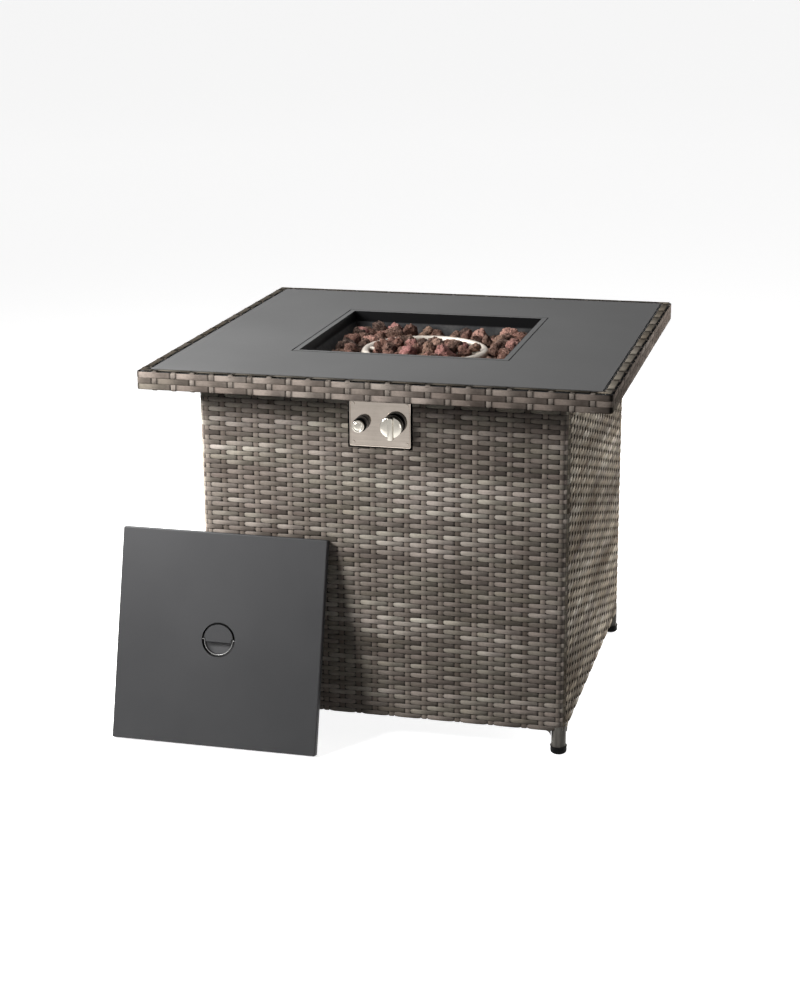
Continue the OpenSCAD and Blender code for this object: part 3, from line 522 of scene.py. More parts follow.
def powder_coat(name, dark, light, roughness, grain=2400.0, relief=0.00012, gloss=0.5):
    """Baked paint or moulded plastic: fine orange peel and a slow change of tone."""
    f = Finish(name, Specular_IOR_Level=gloss)
    place = f.place()
    slow = f.noise(place, 5.0, 3.0)
    peel = f.noise(place, grain, 2.0)
    colour = f.ramp(slow, (0.3, dark), (0.7, light))
    return f.done(Base_Color=colour, Roughness=roughness - 0.06 + slow * 0.12 + peel * 0.06,
                  Normal=f.bump(peel, 0.35, relief))


def bare_metal(name, low, high, roughness, brush=(20.0, 900.0, 900.0), relief=0.00004, smear=0.2, metallic=1.0):
    """Bare metal with fine lines along one way and smears that change its gloss."""
    f = Finish(name, Metallic=metallic)
    place = f.place()
    lines = f.noise(f.stretched(place, brush), 1.0, 4.0, 0.7)
    smears = f.noise(place, 28.0, 4.0, 0.6)
    colour = f.ramp(lines * 0.5 + smears * 0.5, (0.3, low), (0.7, high))
    return f.done(Base_Color=colour, Roughness=roughness + (smears - 0.5) * smear + lines * 0.05,
                  Normal=f.bump(lines, 0.25, relief))


def bowl_coat(name):
    """Heat-proof black inside the bowl, its sloping walls made grey by painted light; its flange takes the top's
    grey, with a painted shadow line round its edge.
    """
    f = Finish(name, Specular_IOR_Level=0.06)
    place = f.place()
    x, y, z = f.parts(place)
    slow = f.noise(place, 6.0, 3.0)
    peel = f.noise(place, 1900.0, 2.0)
    soot = f.noise(place, 26.0, 5.0, 0.65)
    out = x.size().most(y.size())
    # The flange takes the top's grey; past its edge the black shows as a painted shadow line where it meets the top.
    flange = z.between(0.6195, 0.6205) * out.between(0.1728, 0.1734) * (1.0 - out.between(0.1811, 0.1815))
    # Painted light from above on the sloping walls, mottled by soot; the upright collar above keeps the black.
    lit_slope = f.mix(soot.between(0.35, 0.75), srgb(46, 46, 47), srgb(74, 73, 72))
    inside = f.mix(z.between(0.6045, 0.6075), lit_slope, srgb(15, 15, 16))
    colour = f.mix(flange, inside, f.ramp(slow, (0.3, grey(81)), (0.7, grey(87))))
    return f.done(Base_Color=colour, Roughness=0.55 + slow * 0.1 + peel * 0.05, Normal=f.bump(peel, 0.3, 0.0001))


def cup_coat(name):
    """Inside of the lid's pull: grey floor; its walls, its rim and the floor's outer ring round the bail are black
    painted shade.
    """
    f = Finish(name, Specular_IOR_Level=0.4)
    place = f.place()
    x, y, z = f.parts(place)
    lean_sin, lean_cos = math.sin(LID_LEAN), math.cos(LID_LEAN)
    outward = Vector((0, -lean_cos, lean_sin))
    foot = LID_FOOT / 1000
    middle = foot + Vector((0, lean_sin, lean_cos)) * (PULL.y / 1000)
    depth = y * outward.y + z * outward.z - foot.dot(outward)
    peel = f.noise(place, 1900.0, 2.0)
    slow = f.noise(place, 40.0, 3.0)
    aside = x - middle.x
    upward = (y - middle.y) * lean_sin + (z - middle.z) * lean_cos
    # Painted shade: black on the walls and rim, and on the floor's outer ring round the bail.
    moat_shade = ((aside * aside + upward * upward) ** 0.5).between(0.0236, 0.0244)
    wall_shade = depth.between(-0.0090, -0.0082).most(moat_shade)
    colour = f.mix(wall_shade, f.ramp(slow, (0.3, srgb(58, 58, 59)), (0.7, srgb(68, 68, 69))), grey(9))
    return f.done(Base_Color=colour, Roughness=0.45 + slow * 0.12, Normal=f.bump(peel, 0.3, 0.0001))


def lava(name):
    """Red-brown porous rock: a tone for each stone, pits and low spots darkened as painted shade, and a paler
    painted highlight on its high spots.
    """
    f = Finish(name, Specular_IOR_Level=0.12)
    place = f.place()
    own = f.mark("tone")
    pits = f.cells(place, 300.0)
    fine = f.cells(place, 720.0)
    rough = f.noise(place, 170.0, 6.0, 0.72)
    warm = f.ramp(own, (0.0, srgb(72, 58, 52)), (0.25, srgb(98, 76, 66)), (0.5, srgb(124, 90, 79)),
                  (0.7, srgb(128, 106, 90)), (0.85, srgb(150, 102, 98)), (1.0, srgb(168, 130, 116)))
    # Painted highlight: paler on the high spots.
    colour = f.mix(rough.between(0.5, 0.8) * 0.7, warm, srgb(196, 168, 154))
    hole = 1.0 - pits.between(0.08, 0.4)
    small = 1.0 - fine.between(0.08, 0.42)
    # Painted shade in the pits, in the fine pits and in the low spots.
    colour = f.shade(colour, (1.0 - hole * 0.8) * (1.0 - small * 0.6) * (0.5 + rough * 0.9))
    height = rough * 1.0 - hole * 0.9 - small * 0.5
    return f.done(Base_Color=colour, Roughness=0.86 + rough * 0.12, Normal=f.bump(height, 1.0, 0.0026))


def pale_floor(name):
    f = Finish(name, Specular_IOR_Level=0.1, Emission_Color=grey(255), Emission_Strength=0.88)
    haze = f.noise(f.place(), 0.8, 2.0)
    return f.done(Base_Color=f.ramp(haze, (0.3, grey(236)), (0.7, grey(240))),
                  Roughness=0.85 + haze * 0.1)


weft_finish = woven_resin("body_strand", body_weave, 0.61, 5.1, lift=1.2, gloss=0.12, bend=1.2)
# A lighter, greener copy of the body strand for the side walls: painted light, with darker painted shade in its
# dives.
side_lit_copy = woven_resin("side_lit_strand", body_weave, 0.61, 47.3, lift=1.82, green=0.18, spread=0.9, sweep=0.0,
                          slots=(0.48, 0.78, 0.9), bend=1.0)
door_finish = woven_resin("door_strand", door_weave, 0.55, 81.9, lift=1.2, gloss=0.12)
rim_finish = woven_resin("rim_strand", rim_weave, 0.83, 131.7, lift=1.14, green=-0.15, spread=0.75, sweep=0.2)
# The rim's top strip: its low lift is painted shade, and right paints light on its right side.
rim_top_shaded_copy = woven_resin("rim_top_shaded_strand", rim_top_weave, 0.83, 163.2, lift=0.33, green=0.1, spread=0.4,
                             right=1.7)
stake_tones = srgb(88, 79, 72), srgb(154, 143, 133)
stake_finish = stake_resin("upright_strand", 22, *stake_tones, rows=70)
door_stake_finish = stake_resin("door_upright_strand", 20, *stake_tones, rows=64)
rim_stake_finish = stake_resin("rim_upright_strand", 24, srgb(104, 96, 89), srgb(138, 129, 121))
leg_finish = plain_resin("leg_strand", srgb(62, 59, 54), srgb(100, 96, 89), (420.0, 420.0, 14.0))
liner_finish = powder_coat("weave_shadow_liner", srgb(14, 12, 11), srgb(20, 18, 16), 0.85)
frame_paint = powder_coat("black_frame_paint", srgb(22, 22, 23), srgb(30, 30, 31), 0.5)
foot_plastic = powder_coat("foot_plastic", grey(7), grey(12), 0.5, grain=1500.0, relief=0.0002, gloss=0.06)
black_moulding = powder_coat("black_moulding", grey(7), grey(12), 0.3, grain=1500.0, relief=0.0002, gloss=0.12)
top_paint = powder_coat("grey_top_paint", grey(81), grey(87), 0.62, grain=1900.0, relief=0.0001, gloss=0.04)
bowl_paint = bowl_coat("fire_bowl_paint")
lid_paint = powder_coat("lid_paint", srgb(51, 51, 52), srgb(57, 57, 58), 0.44, grain=1900.0, relief=0.00008,
                        gloss=0.25)
cup_paint = cup_coat("pull_cup_paint")
stainless = bare_metal("brushed_stainless", srgb(176, 172, 166), srgb(212, 208, 202), 0.34)
burner_steel = bare_metal("burner_steel", srgb(164, 155, 144), srgb(194, 185, 174), 0.42,
                          brush=(260.0, 260.0, 260.0), relief=0.0001, smear=0.25, metallic=0.45)
plate_metal = bare_metal("polished_plate", srgb(154, 145, 136), srgb(176, 166, 156), 0.05,
                         brush=(14.0, 500.0, 500.0), relief=0.000002, smear=0.04)
chrome = bare_metal("chrome", srgb(168, 163, 153), srgb(190, 185, 175), 0.1, brush=(160.0, 160.0, 160.0),
                    relief=0.00001, smear=0.06)
brass = bare_metal("brass", srgb(176, 142, 78), srgb(208, 174, 104), 0.32)
copper = bare_metal("copper", srgb(178, 108, 74), srgb(204, 132, 96), 0.34)
bail_steel = bare_metal("bail_steel", srgb(100, 100, 99), srgb(130, 129, 128), 0.34)
ceramic = powder_coat("glazed_ceramic", srgb(226, 222, 212), srgb(238, 234, 226), 0.25)
lead_rubber = powder_coat("lead_sleeve", srgb(16, 16, 17), srgb(24, 24, 25), 0.55)
lava_finish = lava("lava_stone")


# Laying the weave

def float_marks(weave):
    """How far a strand stands out at a distance from the middle of its float: 1 over a stake, -1 behind one."""
    edge = weave.edge
    return ((0.0, 1.0), (0.15, 0.96), (0.25, 0.88), (edge - 0.08, 0.76), (edge - 0.02, 0.5), (edge, weave.dip),
            ((edge + 0.5) / 2, -0.8), (0.5, -1.0))


def column_places(weave, odd):
    """Places of the points along a unit, from 0 to 1, closer together where the strand dives."""
    middle = 0.25 + 0.5 * odd
    return sorted({round((middle + side * a) % 1, 6) for a, out in float_marks(weave) for side in (-1, 1)}) + [1.0]


def stands_out(weave, odd, place):
    away = abs((place - 0.25 - 0.5 * odd + 0.5) % 1 - 0.5)
    marks = float_marks(weave)
    for (a, high), (b, low) in zip(marks, marks[1:]):
        if away <= b + 1e-6:
            return high + (low - high) * (away - a) / (b - a)


def lay_pattern(piece, u_of, v_from, v_to, baked=True):
    """Sets the maps of a unit to its share of the whole weave: along by place, across by its own map."""
    leave_edit()
    mesh = piece.data
    mesh.uv_layers[0].name = "weave"
    for loop, item in zip(mesh.loops, mesh.uv_layers["weave"].data):
        u, v = item.uv
        item.uv = (u_of(mesh.vertices[loop.vertex_index].co, u), v_from + (v_to - v_from) * v)
    if baked:
        mesh.uv_layers.new(name="OFBake")
        for item, shown in zip(mesh.uv_layers["OFBake"].data, mesh.uv_layers["weave"].data):
            item.uv = shown.uv


def weft_rows(name, weave, odd, baked):
    """Every second row of strand, flat, face towards -Y, from x = 0: over one stake, under the next."""
    places = column_places(weave, odd)
    columns = len(places) - 1
    length = 2 * weave.pitch
    middle = weave.low + weave.row * (odd + 0.5)
    unit = start(name, bpy.ops.mesh.primitive_grid_add, x_subdivisions=columns, y_subdivisions=4, size=1,
                 rotation=FORWARD)
    grow(length, 1, weave.width)
    shift(length / 2, 0, middle)
    for i, place in enumerate(places):
        pick(lambda at, way: abs(at.x - length * i / columns) < 0.01 and abs(at.y) < 0.0001)
        shift(length * (place - i / columns), -weave.plane - weave.rise * stands_out(weave, odd, place))
    for step, inward in ((0.5, weave.crown), (0.25, 0.2 * weave.crown)):
        pick(lambda at, way: abs(abs(at.z - middle) - step * weave.width) < 0.01)
        shift(0, inward)
    for side in (-1, 1):
        pick(lambda at, way: abs(at.z - middle - side * 0.25 * weave.width) < 0.01)
        shift(0, 0, side * 0.09 * weave.width)
    for place in places:
        out = stands_out(weave, odd, place)
        if out < 0.8 and weave.taper:
            pick(lambda at, way: abs(at.x - length * place) < 0.01)
            grow(1, 1, 1 - weave.taper * (0.9 - out), (0, 0, middle))
    lay_pattern(unit, lambda at, u: at.x / length / weave.units, (odd + 0.03) / weave.rows,
                (odd + 0.97) / weave.rows, baked)
    row_of(unit, weave.units, (length, 0, 0), offset_u=1 / weave.units, use_merge_vertices=True,
           merge_threshold=0.01)
    count = (weave.rows - odd + 1) // 2
    if count > 1:
        row_of(unit, count, (0, 0, 2 * weave.row), offset_v=2 / weave.rows)
    return unit


def weft(name, weave, baked=True):
    return join(name, [weft_rows(name, weave, odd, baked) for odd in range(min(2, weave.rows))])


def stakes(name, weave):
    """Upright strands of a flat weave, bulging out where the rows pass behind them."""
    made = []
    count = 2 * weave.units
    height = 2 * weave.row
    rows = 6
    for odd in (0, 1):
        middle = weave.pitch * (odd + 0.5)
        unit = start(name, bpy.ops.mesh.primitive_grid_add, x_subdivisions=4, y_subdivisions=rows, size=1,
                     rotation=FORWARD)
        grow(weave.stake, 1, height)
        shift(middle, 0, weave.low + height / 2)
        for step, inward in ((0.5, 0.7), (0.25, 0.12)):
            pick(lambda at, way: abs(abs(at.x - middle) - step * weave.stake) < 0.01)
            shift(0, inward)
        for i in range(rows + 1):
            out = 0.4 * math.sin(2 * math.pi * i / rows) * (1 if odd else -1)
            pick(lambda at, way: abs(at.z - weave.low - height * i / rows) < 0.01)
            shift(0, -out - weave.stake_plane)
        lay_pattern(unit, lambda at, u: (odd + 0.03 + 0.94 * u) / count, 0, 2 / weave.rows)
        row_of(unit, weave.rows // 2, (0, 0, height), offset_v=2 / weave.rows, use_merge_vertices=True,
               merge_threshold=0.01)
        row_of(unit, weave.units, (2 * weave.pitch, 0, 0), offset_u=2 / count)
        made.append(unit)
    return join(name, made)


def corner_path(name, plane, radius):
    """A line along the front that turns half way round both corners."""
    inner = plane - radius

    def half_turn(x, first):
        angles = [math.radians(first + 45 * i / 8) for i in range(9)]
        return [(x + radius * math.cos(a), -inner + radius * math.sin(a)) for a in angles]

    points = half_turn(-inner, 225) + [(x * inner, -plane) for x in (-0.97, -0.5, 0.5, 0.97)] + half_turn(inner, 270)
    line = bpy.data.curves.new(name, "CURVE")
    line.dimensions = "3D"
    line.twist_mode = "Z_UP"
    spline = line.splines.new("POLY")
    spline.points.add(len(points) - 1)
    for point, (x, y) in zip(spline.points, points):
        point.co = (x, y, 0, 1)
    return hold(name, line)


def follow(piece, guide):
    """Bends a flat weave along a guide line."""
    apply(piece, "CURVE", object=guide, deform_axis="POS_X")


def put_away(guide):
    line = guide.data
    bpy.data.objects.remove(guide)
    bpy.data.curves.remove(line)


def open_for_plate(piece, half, low):
    """Cuts the place of the control plate out of a front piece."""
    edit(piece)
    for axis, place in (("X", -half), ("X", half), ("Z", low)):
        loop_at(axis, place)
    drop(lambda at, way: abs(at.x) < half and at.z > low)


def make_body_weave():
    weave = body_weave
    length = 2 * weave.pitch * weave.units
    corner = WALL_PLANE - POST
    arc = corner * math.pi / 4
    end = weave.pitch / 2
    guide = corner_path("wall_line", WALL_PLANE, corner)
    rows = edit(weft("front_rows", weave))
    pick(lambda at, way: at.x < end)
    grow(arc / end, 1, 1, (end, 0, 0))
    pick(lambda at, way: at.x > length - end)
    grow(arc / end, 1, 1, (length - end, 0, 0))
    for near, scale in ((end + 6, 0.5), (end, 0.7)):
        pick(lambda at, way: at.x < near or at.x > length - near)
        grow(1, scale, 1, (0, -weave.plane - 0.3, 0))
    everything()
    shift(arc - end)
    uprights = edit(stakes("front_uprights", weave))
    shift(arc - end)
    follow(rows, guide)
    follow(uprights, guide)
    put_away(guide)

    door_low, door_high = weave.low + 3 * weave.row, weave.low + 68 * weave.row
    for side, angle in (("front", 0), ("right", 90), ("back", 180), ("left", 270)):
        strand = turned(rows, side + "_wall_rows", angle)
        upright = turned(uprights, side + "_wall_uprights", angle)
        for piece in (strand, upright):
            if side == "front":
                open_for_plate(piece, NOTCH, NOTCH_LOW)
            elif side == "back":
                edit(piece)
                drop(lambda at, way: abs(at.x) < DOOR_HALF and door_low < at.z < door_high)
        fit(strand, side_lit_copy if side in ("left", "right") else weft_finish, stands_for=side + "_wicker",
            smooth=80)
        fit(upright, stake_finish, smooth=80)
    bpy.data.objects.remove(rows)
    bpy.data.objects.remove(uprights)


def make_liner():
    """Dark sheet behind the weave, turned in under the lower rail."""
    front = board("wall_liner", 2 * POST, BODY_HIGH - BODY_LOW - 0.6, -LINER_PLANE, (BODY_LOW + BODY_HIGH) / 2)
    pick(lambda at, way: at.z < BODY_LOW + 1, "EDGE")
    draw_out(y=16)
    sides = [front] + [turned(front, "wall_liner", a) for a in (90, 270)]
    open_for_plate(front, NOTCH + 1.8, NOTCH_LOW - 2.0)
    for low, high in ((BODY_LOW + 0.3, 61.0), (586.0, BODY_HIGH)):
        band = board("wall_liner", 2 * DOOR_HALF - 0.2, high - low, -LINER_PLANE, (low + high) / 2)
        turn(180)
        sides.append(band)
    liner = apply(join("wall_liner", sides), "SOLIDIFY", thickness=0.4, offset=-1)
    fit(liner, liner_finish)


def make_door_weave():
    weave = door_weave
    half = weave.pitch * weave.units
    for piece, finish, node in ((weft("door_rows", weave), door_finish, "door_wicker"),
                                (stakes("door_uprights", weave), door_stake_finish, "")):
        edit(piece)
        shift(-half, -WALL_PLANE)
        turn(180)
        fit(piece, finish, "door", stands_for=node, smooth=80)
    edges = [rounded(block("door_edges", (5.0, 3.6, DOOR_HEIGHT), (x, 303.0, DOOR_Z)), 1.5) for x in (-273.4, 273.4)]
    edges += [rounded(block("door_edges", (552.0, 3.2, 3.0), (0, 302.8, z)), 1.2) for z in (67.6, 579.4)]
    fit(join("door_edges", edges), leg_finish, "door")
    backing = board("door_liner", 548.0, 511.0, -LINER_PLANE - 0.05, DOOR_Z)
    turn(180)
    apply(backing, "SOLIDIFY", thickness=0.4, offset=-1)
    fit(backing, liner_finish, "door")


def make_rim_weave():
    weave = rim_weave
    radius = 6.0
    guide = corner_path("rim_line", RIM_PLANE, radius)
    length = 2 * (RIM_PLANE - radius) + radius * math.pi / 2
    rows = edit(weft("rim_rows", weave, False))
    shift(-weave.pitch / 2 - weave.pitch * weave.units + length / 2)
    cut((0, 0, 0), (1, 0, 0), keep_inner=False)
    cut((length, 0, 0), (1, 0, 0))
    follow(rows, guide)
    put_away(guide)
    fit(round_the_table(rows, "rim_rows"), rim_finish, stands_for="rim_wicker", smooth=80)

    top = edit(weft("rim_top_rows", rim_top_weave, False))
    shift(-weave.pitch * weave.units + weave.pitch / 2, 0, -rim_top_weave.row / 2)
    turn(-90, "X")
    shift(0, -RIM_MIDDLE + 0.6, TOP_Z - 0.5)
    for way in ((-1, -1, 0), (1, -1, 0)):
        cut((0, 0, 0), way, keep_inner=False)
    fit(round_the_table(top, "rim_top_rows"), rim_top_shaded_copy, smooth=80)

    made = []
    for odd in (0, 1):
        band = block("rim_uprights", (weave.stake, 17.6, 31.6), (0, -RIM_MIDDLE, RIM_Z))
        drop(lambda at, way: abs(way.x) > 0.9)
        rounded(band, 3.0)
        edit(band)
        steps = [(weave.low + weave.row * (i + part), inward + (2.0 if (i + odd) % 2 else 0.0))
                 for i in range(3) for part, inward in ((0.03, 0.8), (0.1, 0.1), (0.9, 0.1), (0.97, 0.8))]
        for z, inward in steps:
            loop_at("Z", z)
        for side in (-1, 1):
            loop_at("X", side * 0.3 * weave.stake)
        for z, inward in steps:
            pick(lambda at, way: at.y < -378.5 and abs(at.z - z) < 0.1)
            shift(0, inward)
        if not odd:
            pick(lambda at, way: at.z > 623.9)
            shift(0, 0, -1.4)
        pick(lambda at, way: abs(at.x) > 0.4 * weave.stake)
        grow(1, 0.965, 0.98, (0, -RIM_MIDDLE, RIM_Z))
        everything()
        shift(-weave.pitch * (11 if odd else 10))
        leave_edit()
        uv = band.data.uv_layers[0]
        uv.name = "weave"
        for item in uv.data:
            item.uv = ((odd + 0.1 + 0.8 * item.uv[0]) / 24, item.uv[1])
        row_of(band, 12 if odd else 11, (2 * weave.pitch, 0, 0), offset_u=1 / 12)
        made.append(band)
    fit(round_the_table(join("rim_uprights", made), "rim_uprights"), rim_stake_finish, smooth=60)


def make_legs():
    """Strands up the legs, their fillets against the walls, and the cups that they stand in."""
    leg = drum("leg_strands", (POST, -POST, 26), 12, 44, 48, UPRIGHT, end_fill_type="NOTHING")
    about = Vector((POST, -POST, 0))

    def place_on_leg(at):
        return round(math.degrees(math.atan2(at.y - about.y, at.x - about.x)) / 7.5) % 6

    for which, scale in ((0, 0.925), (1, 0.985), (5, 0.985)):
        pick(lambda at, way: place_on_leg(at) == which)
        grow(scale, scale, 1, about)
    fit(round_the_table(leg, "leg_strands"), leg_finish, stands_for="leg_wraps", smooth=50)

    pair = []
    for side in (-1, 1):
        fillet = block("leg_fillets", (8.6, 4.4, 8.6), (side * 277.0, -302.6, 37.3))
        tool = drum("fillet_tool", (side * 272.8, -302.6, 33.2), 8, 20, 48)
        carve(fillet, tool)
        pair.append(rounded(fillet, 0.8, 2))
    fit(round_the_table(join("leg_fillets", pair), "leg_fillets"), leg_finish)

    cup = drum("foot_cups", (POST, -POST, 6.5), 13.4, 13, 48, UPRIGHT)
    pick(lambda at, way: way.z > 0.9, "FACE")
    inset(1.2)
    draw_out(z=-3)
    for z in (7.5, 10.2):
        loop_at("Z", z)
    pick(lambda at, way: at.z > 12.9)
    grow(1.045, 1.045, 1, about)
    pick(lambda at, way: abs(at.z - 10.2) < 0.1 and (at - about).xy.length > 12.9)
    grow(0.985, 0.985, 1, about)
    pick(lambda at, way: at.z < 0.1, "EDGE")
    bevel(4.6, 5)
    rounded(outwards(cup), 0.5, 2)
    fit(round_the_table(cup, "foot_cups"), foot_plastic, stands_for="foot_caps")


# Lava rock

def rock_shapes(count):
    shapes = []
    for i in range(count):
        rock = start("rock_%d" % i, bpy.ops.mesh.primitive_ico_sphere_add, subdivisions=4, radius=1)
        pull = random.Random(70 + i)
        grow(pull.uniform(0.85, 1.2), pull.uniform(0.8, 1.05), pull.uniform(0.68, 0.9))
        shift(7.0 * i + 3.0, 2.0 * i, -5.0 * i)
        for kind, size, strength in (("CLOUDS", 0.85, 0.75), ("CLOUDS", 0.3, 0.34), ("VORONOI", 0.17, 0.16)):
            grain = bpy.data.textures.new("rock_grain", kind)
            grain.noise_scale = size
            apply(rock, "DISPLACE", texture=grain, texture_coords="LOCAL", strength=strength, mid_level=0.5)
            bpy.data.textures.remove(grain)
        apply(rock, "DECIMATE", ratio=0.36)
        edit(rock)
        shift(-7.0 * i - 3.0, -2.0 * i, 5.0 * i)
        leave_edit()
        rock.data.attributes.new("tone", "FLOAT", "POINT")
        shapes.append(rock)
    return shapes


def rock_heap():
    """Places for the stones: each is let down where it comes to rest lowest, clear of the burner."""
    luck = random.Random(11)
    floor, half = 571.0, 148.0
    ring, tube, spoke_top, hub, hub_top = 103, 6.5, 596, 16, 599
    pilot_y, pilot_room = -130, 20
    anywhere, inside, tries = 300, 440, 600
    heap = []

    def rest_height(x, y, r):
        low = floor + 0.72 * r
        edge = max(abs(x), abs(y)) + 0.8 * r - half
        if edge > 0:
            low += 1.6 * edge
        reach = math.hypot(x, y)
        if abs(reach - ring) < 0.8 * r + tube:
            return None
        if abs(y) < 0.5 * r + 5 and reach < ring:
            low = max(low, spoke_top + 0.5 * r)
        if reach < hub + 0.4 * r:
            low = max(low, hub_top + 0.5 * r)
        for px, py, pz, pr in heap:
            flat = math.hypot(x - px, y - py)
            touch = 0.8 * (r + pr)
            if flat < touch:
                low = max(low, pz + math.sqrt(touch * touch - flat * flat))
        return low

    def ceiling(x, y, large):
        """How high a stone may stand: lower at the back of the ring, so that its far side shows."""
        reach = math.hypot(x, y)
        if reach < ring:
            return min(621 - 0.0024 * reach * reach if large else 614, spoke_top + 0.21 * (ring - y))
        return 611 if y > -40 else 600

    for wanted in range(tries):
        large = wanted < inside
        r = luck.uniform(11.5, 17.5) if large else luck.uniform(8.0, 12.0)
        wide, deep = (half, half) if wanted < anywhere else (86.0, 86.0) if large else (91.0, 7.0)
        best = None
        for trial in range(40):
            x, y = luck.uniform(-wide, wide), luck.uniform(-deep, deep)
            if math.hypot(x, y - pilot_y) < pilot_room:
                continue
            low = rest_height(x, y, r)
            if low is not None and (best is None or low < best[2]):
                best = (x, y, low, r)
        if best and best[2] + 0.75 * r < ceiling(best[0], best[1], large):
            heap.append(best)
    return heap


def make_rocks():
    shapes = rock_shapes(6)
    luck = random.Random(5)
    rocks = []
    for i, (x, y, z, r) in enumerate(rock_heap()):
        rock = copy_of(shapes[i % len(shapes)], "lava_heap")
        tone = luck.random()
        for item in rock.data.attributes["tone"].data:
            item.value = tone
        rock.rotation_euler = [luck.uniform(0, 6.28) for axis in range(3)]
        rock.scale = (r, r, r)
        rock.location = (x, y, z)
        settle()
        rocks.append(rock)
    for shape in shapes:
        bpy.data.objects.remove(shape)
    fit(join("lava_heap", rocks), lava_finish, stands_for="lava_rocks", smooth=60)


# Controls

def make_controls():
    plate = block("polished_plate", (100, 3.4, 75), (0, -304.75, CONTROL_Z))
    pick(lambda at, way: abs(way.y) > 0.9, "EDGE")
    bevel(2.4, 5)
    terraces((0.7, -0.3), (0.8, 0), (0.3, 0.3), (0.3, -0.3))
    fit(plate, plate_metal, stands_for="control_plate")

    knob_axis = (KNOB_X, 0, CONTROL_Z)
    skirt = drum("knob_skirt", (KNOB_X, -317.55, CONTROL_Z), 17.6, 12.5)
    loop_at("Y", -313)
    pick(lambda at, way: at.y > -311.5)
    grow(0.93, 1, 0.93, knob_axis)
    rounded(skirt, 0.5, 2)
    fit(skirt, black_moulding, "knob", "knob_core")

    knob = drum("knob_cover", (KNOB_X, -324.4, CONTROL_Z), 18, 2.0)
    terraces((2.0, -1.0), (3.5, -0.7), (5.0, -0.3))
    rounded(knob, 0.8)
    grip_z = CONTROL_Z - 1.75
    grip = block("knob_cover", (10.4, 8.4, 37.5), (KNOB_X, -327.6, grip_z))
    pick(lambda at, way: abs(way.y) > 0.9, "EDGE")
    bevel(2.6, 4)
    pick(lambda at, way: at.y < -331)
    grow(0.84, 1, 0.97, (KNOB_X, 0, grip_z))
    rounded(grip, 0.9)
    fit(join("knob_cover", [knob, grip]), chrome, "knob", "knob_shell")

    button_axis = (BUTTON_X, 0, CONTROL_Z)
    collar = drum("igniter_collar", (BUTTON_X, -313.65, CONTROL_Z), 11.5, 13.7)
    terraces((1.4, 0))
    draw_out(y=11.5)
    rounded(collar, 0.6, 2)
    barrel = drum("igniter_collar", (BUTTON_X, -284.5, CONTROL_Z), 9, 44.0, 48)
    for y in range(-300, -264, 2):
        loop_at("Y", y)
    pick(lambda at, way: -299 < at.y < -264 and abs(at.y % 4 - 2) < 0.1)
    grow(0.95, 1, 0.95, button_axis)
    fit(join("igniter_collar", [collar, barrel]), black_moulding, stands_for="igniter_body")

    shaft = drum("spark_button_stem", (BUTTON_X, -320.8, CONTROL_Z), 9.6, 13.2)
    loop_at("Y", -325.6)
    pick(lambda at, way: at.y < -325)
    grow(0.95, 1, 0.95, button_axis)
    rounded(shaft, 0.4, 2)
    fit(shaft, black_moulding, "button")

    button = drum("spark_button", (BUTTON_X, -328.4, CONTROL_Z), 10.0, 3.2)
    terraces((2.4, -0.5), (0.7, 0.9), (0.9, -0.7), (3.0, -0.2))
    rounded(button, 0.5)
    fit(button, chrome, "button", "igniter_button")


# Lid

def lean(piece):
    """Sets a piece of the lid, made lying flat, to the lid's lean against the body."""
    alone(piece)
    piece.rotation_euler = (math.radians(90) - LID_LEAN, 0, 0)
    piece.location = LID_FOOT
    settle()
    return piece


def on_pull(x, y, z):
    """A place on the flat lid, from the middle of its pull."""
    return PULL + Vector((x, y, z))


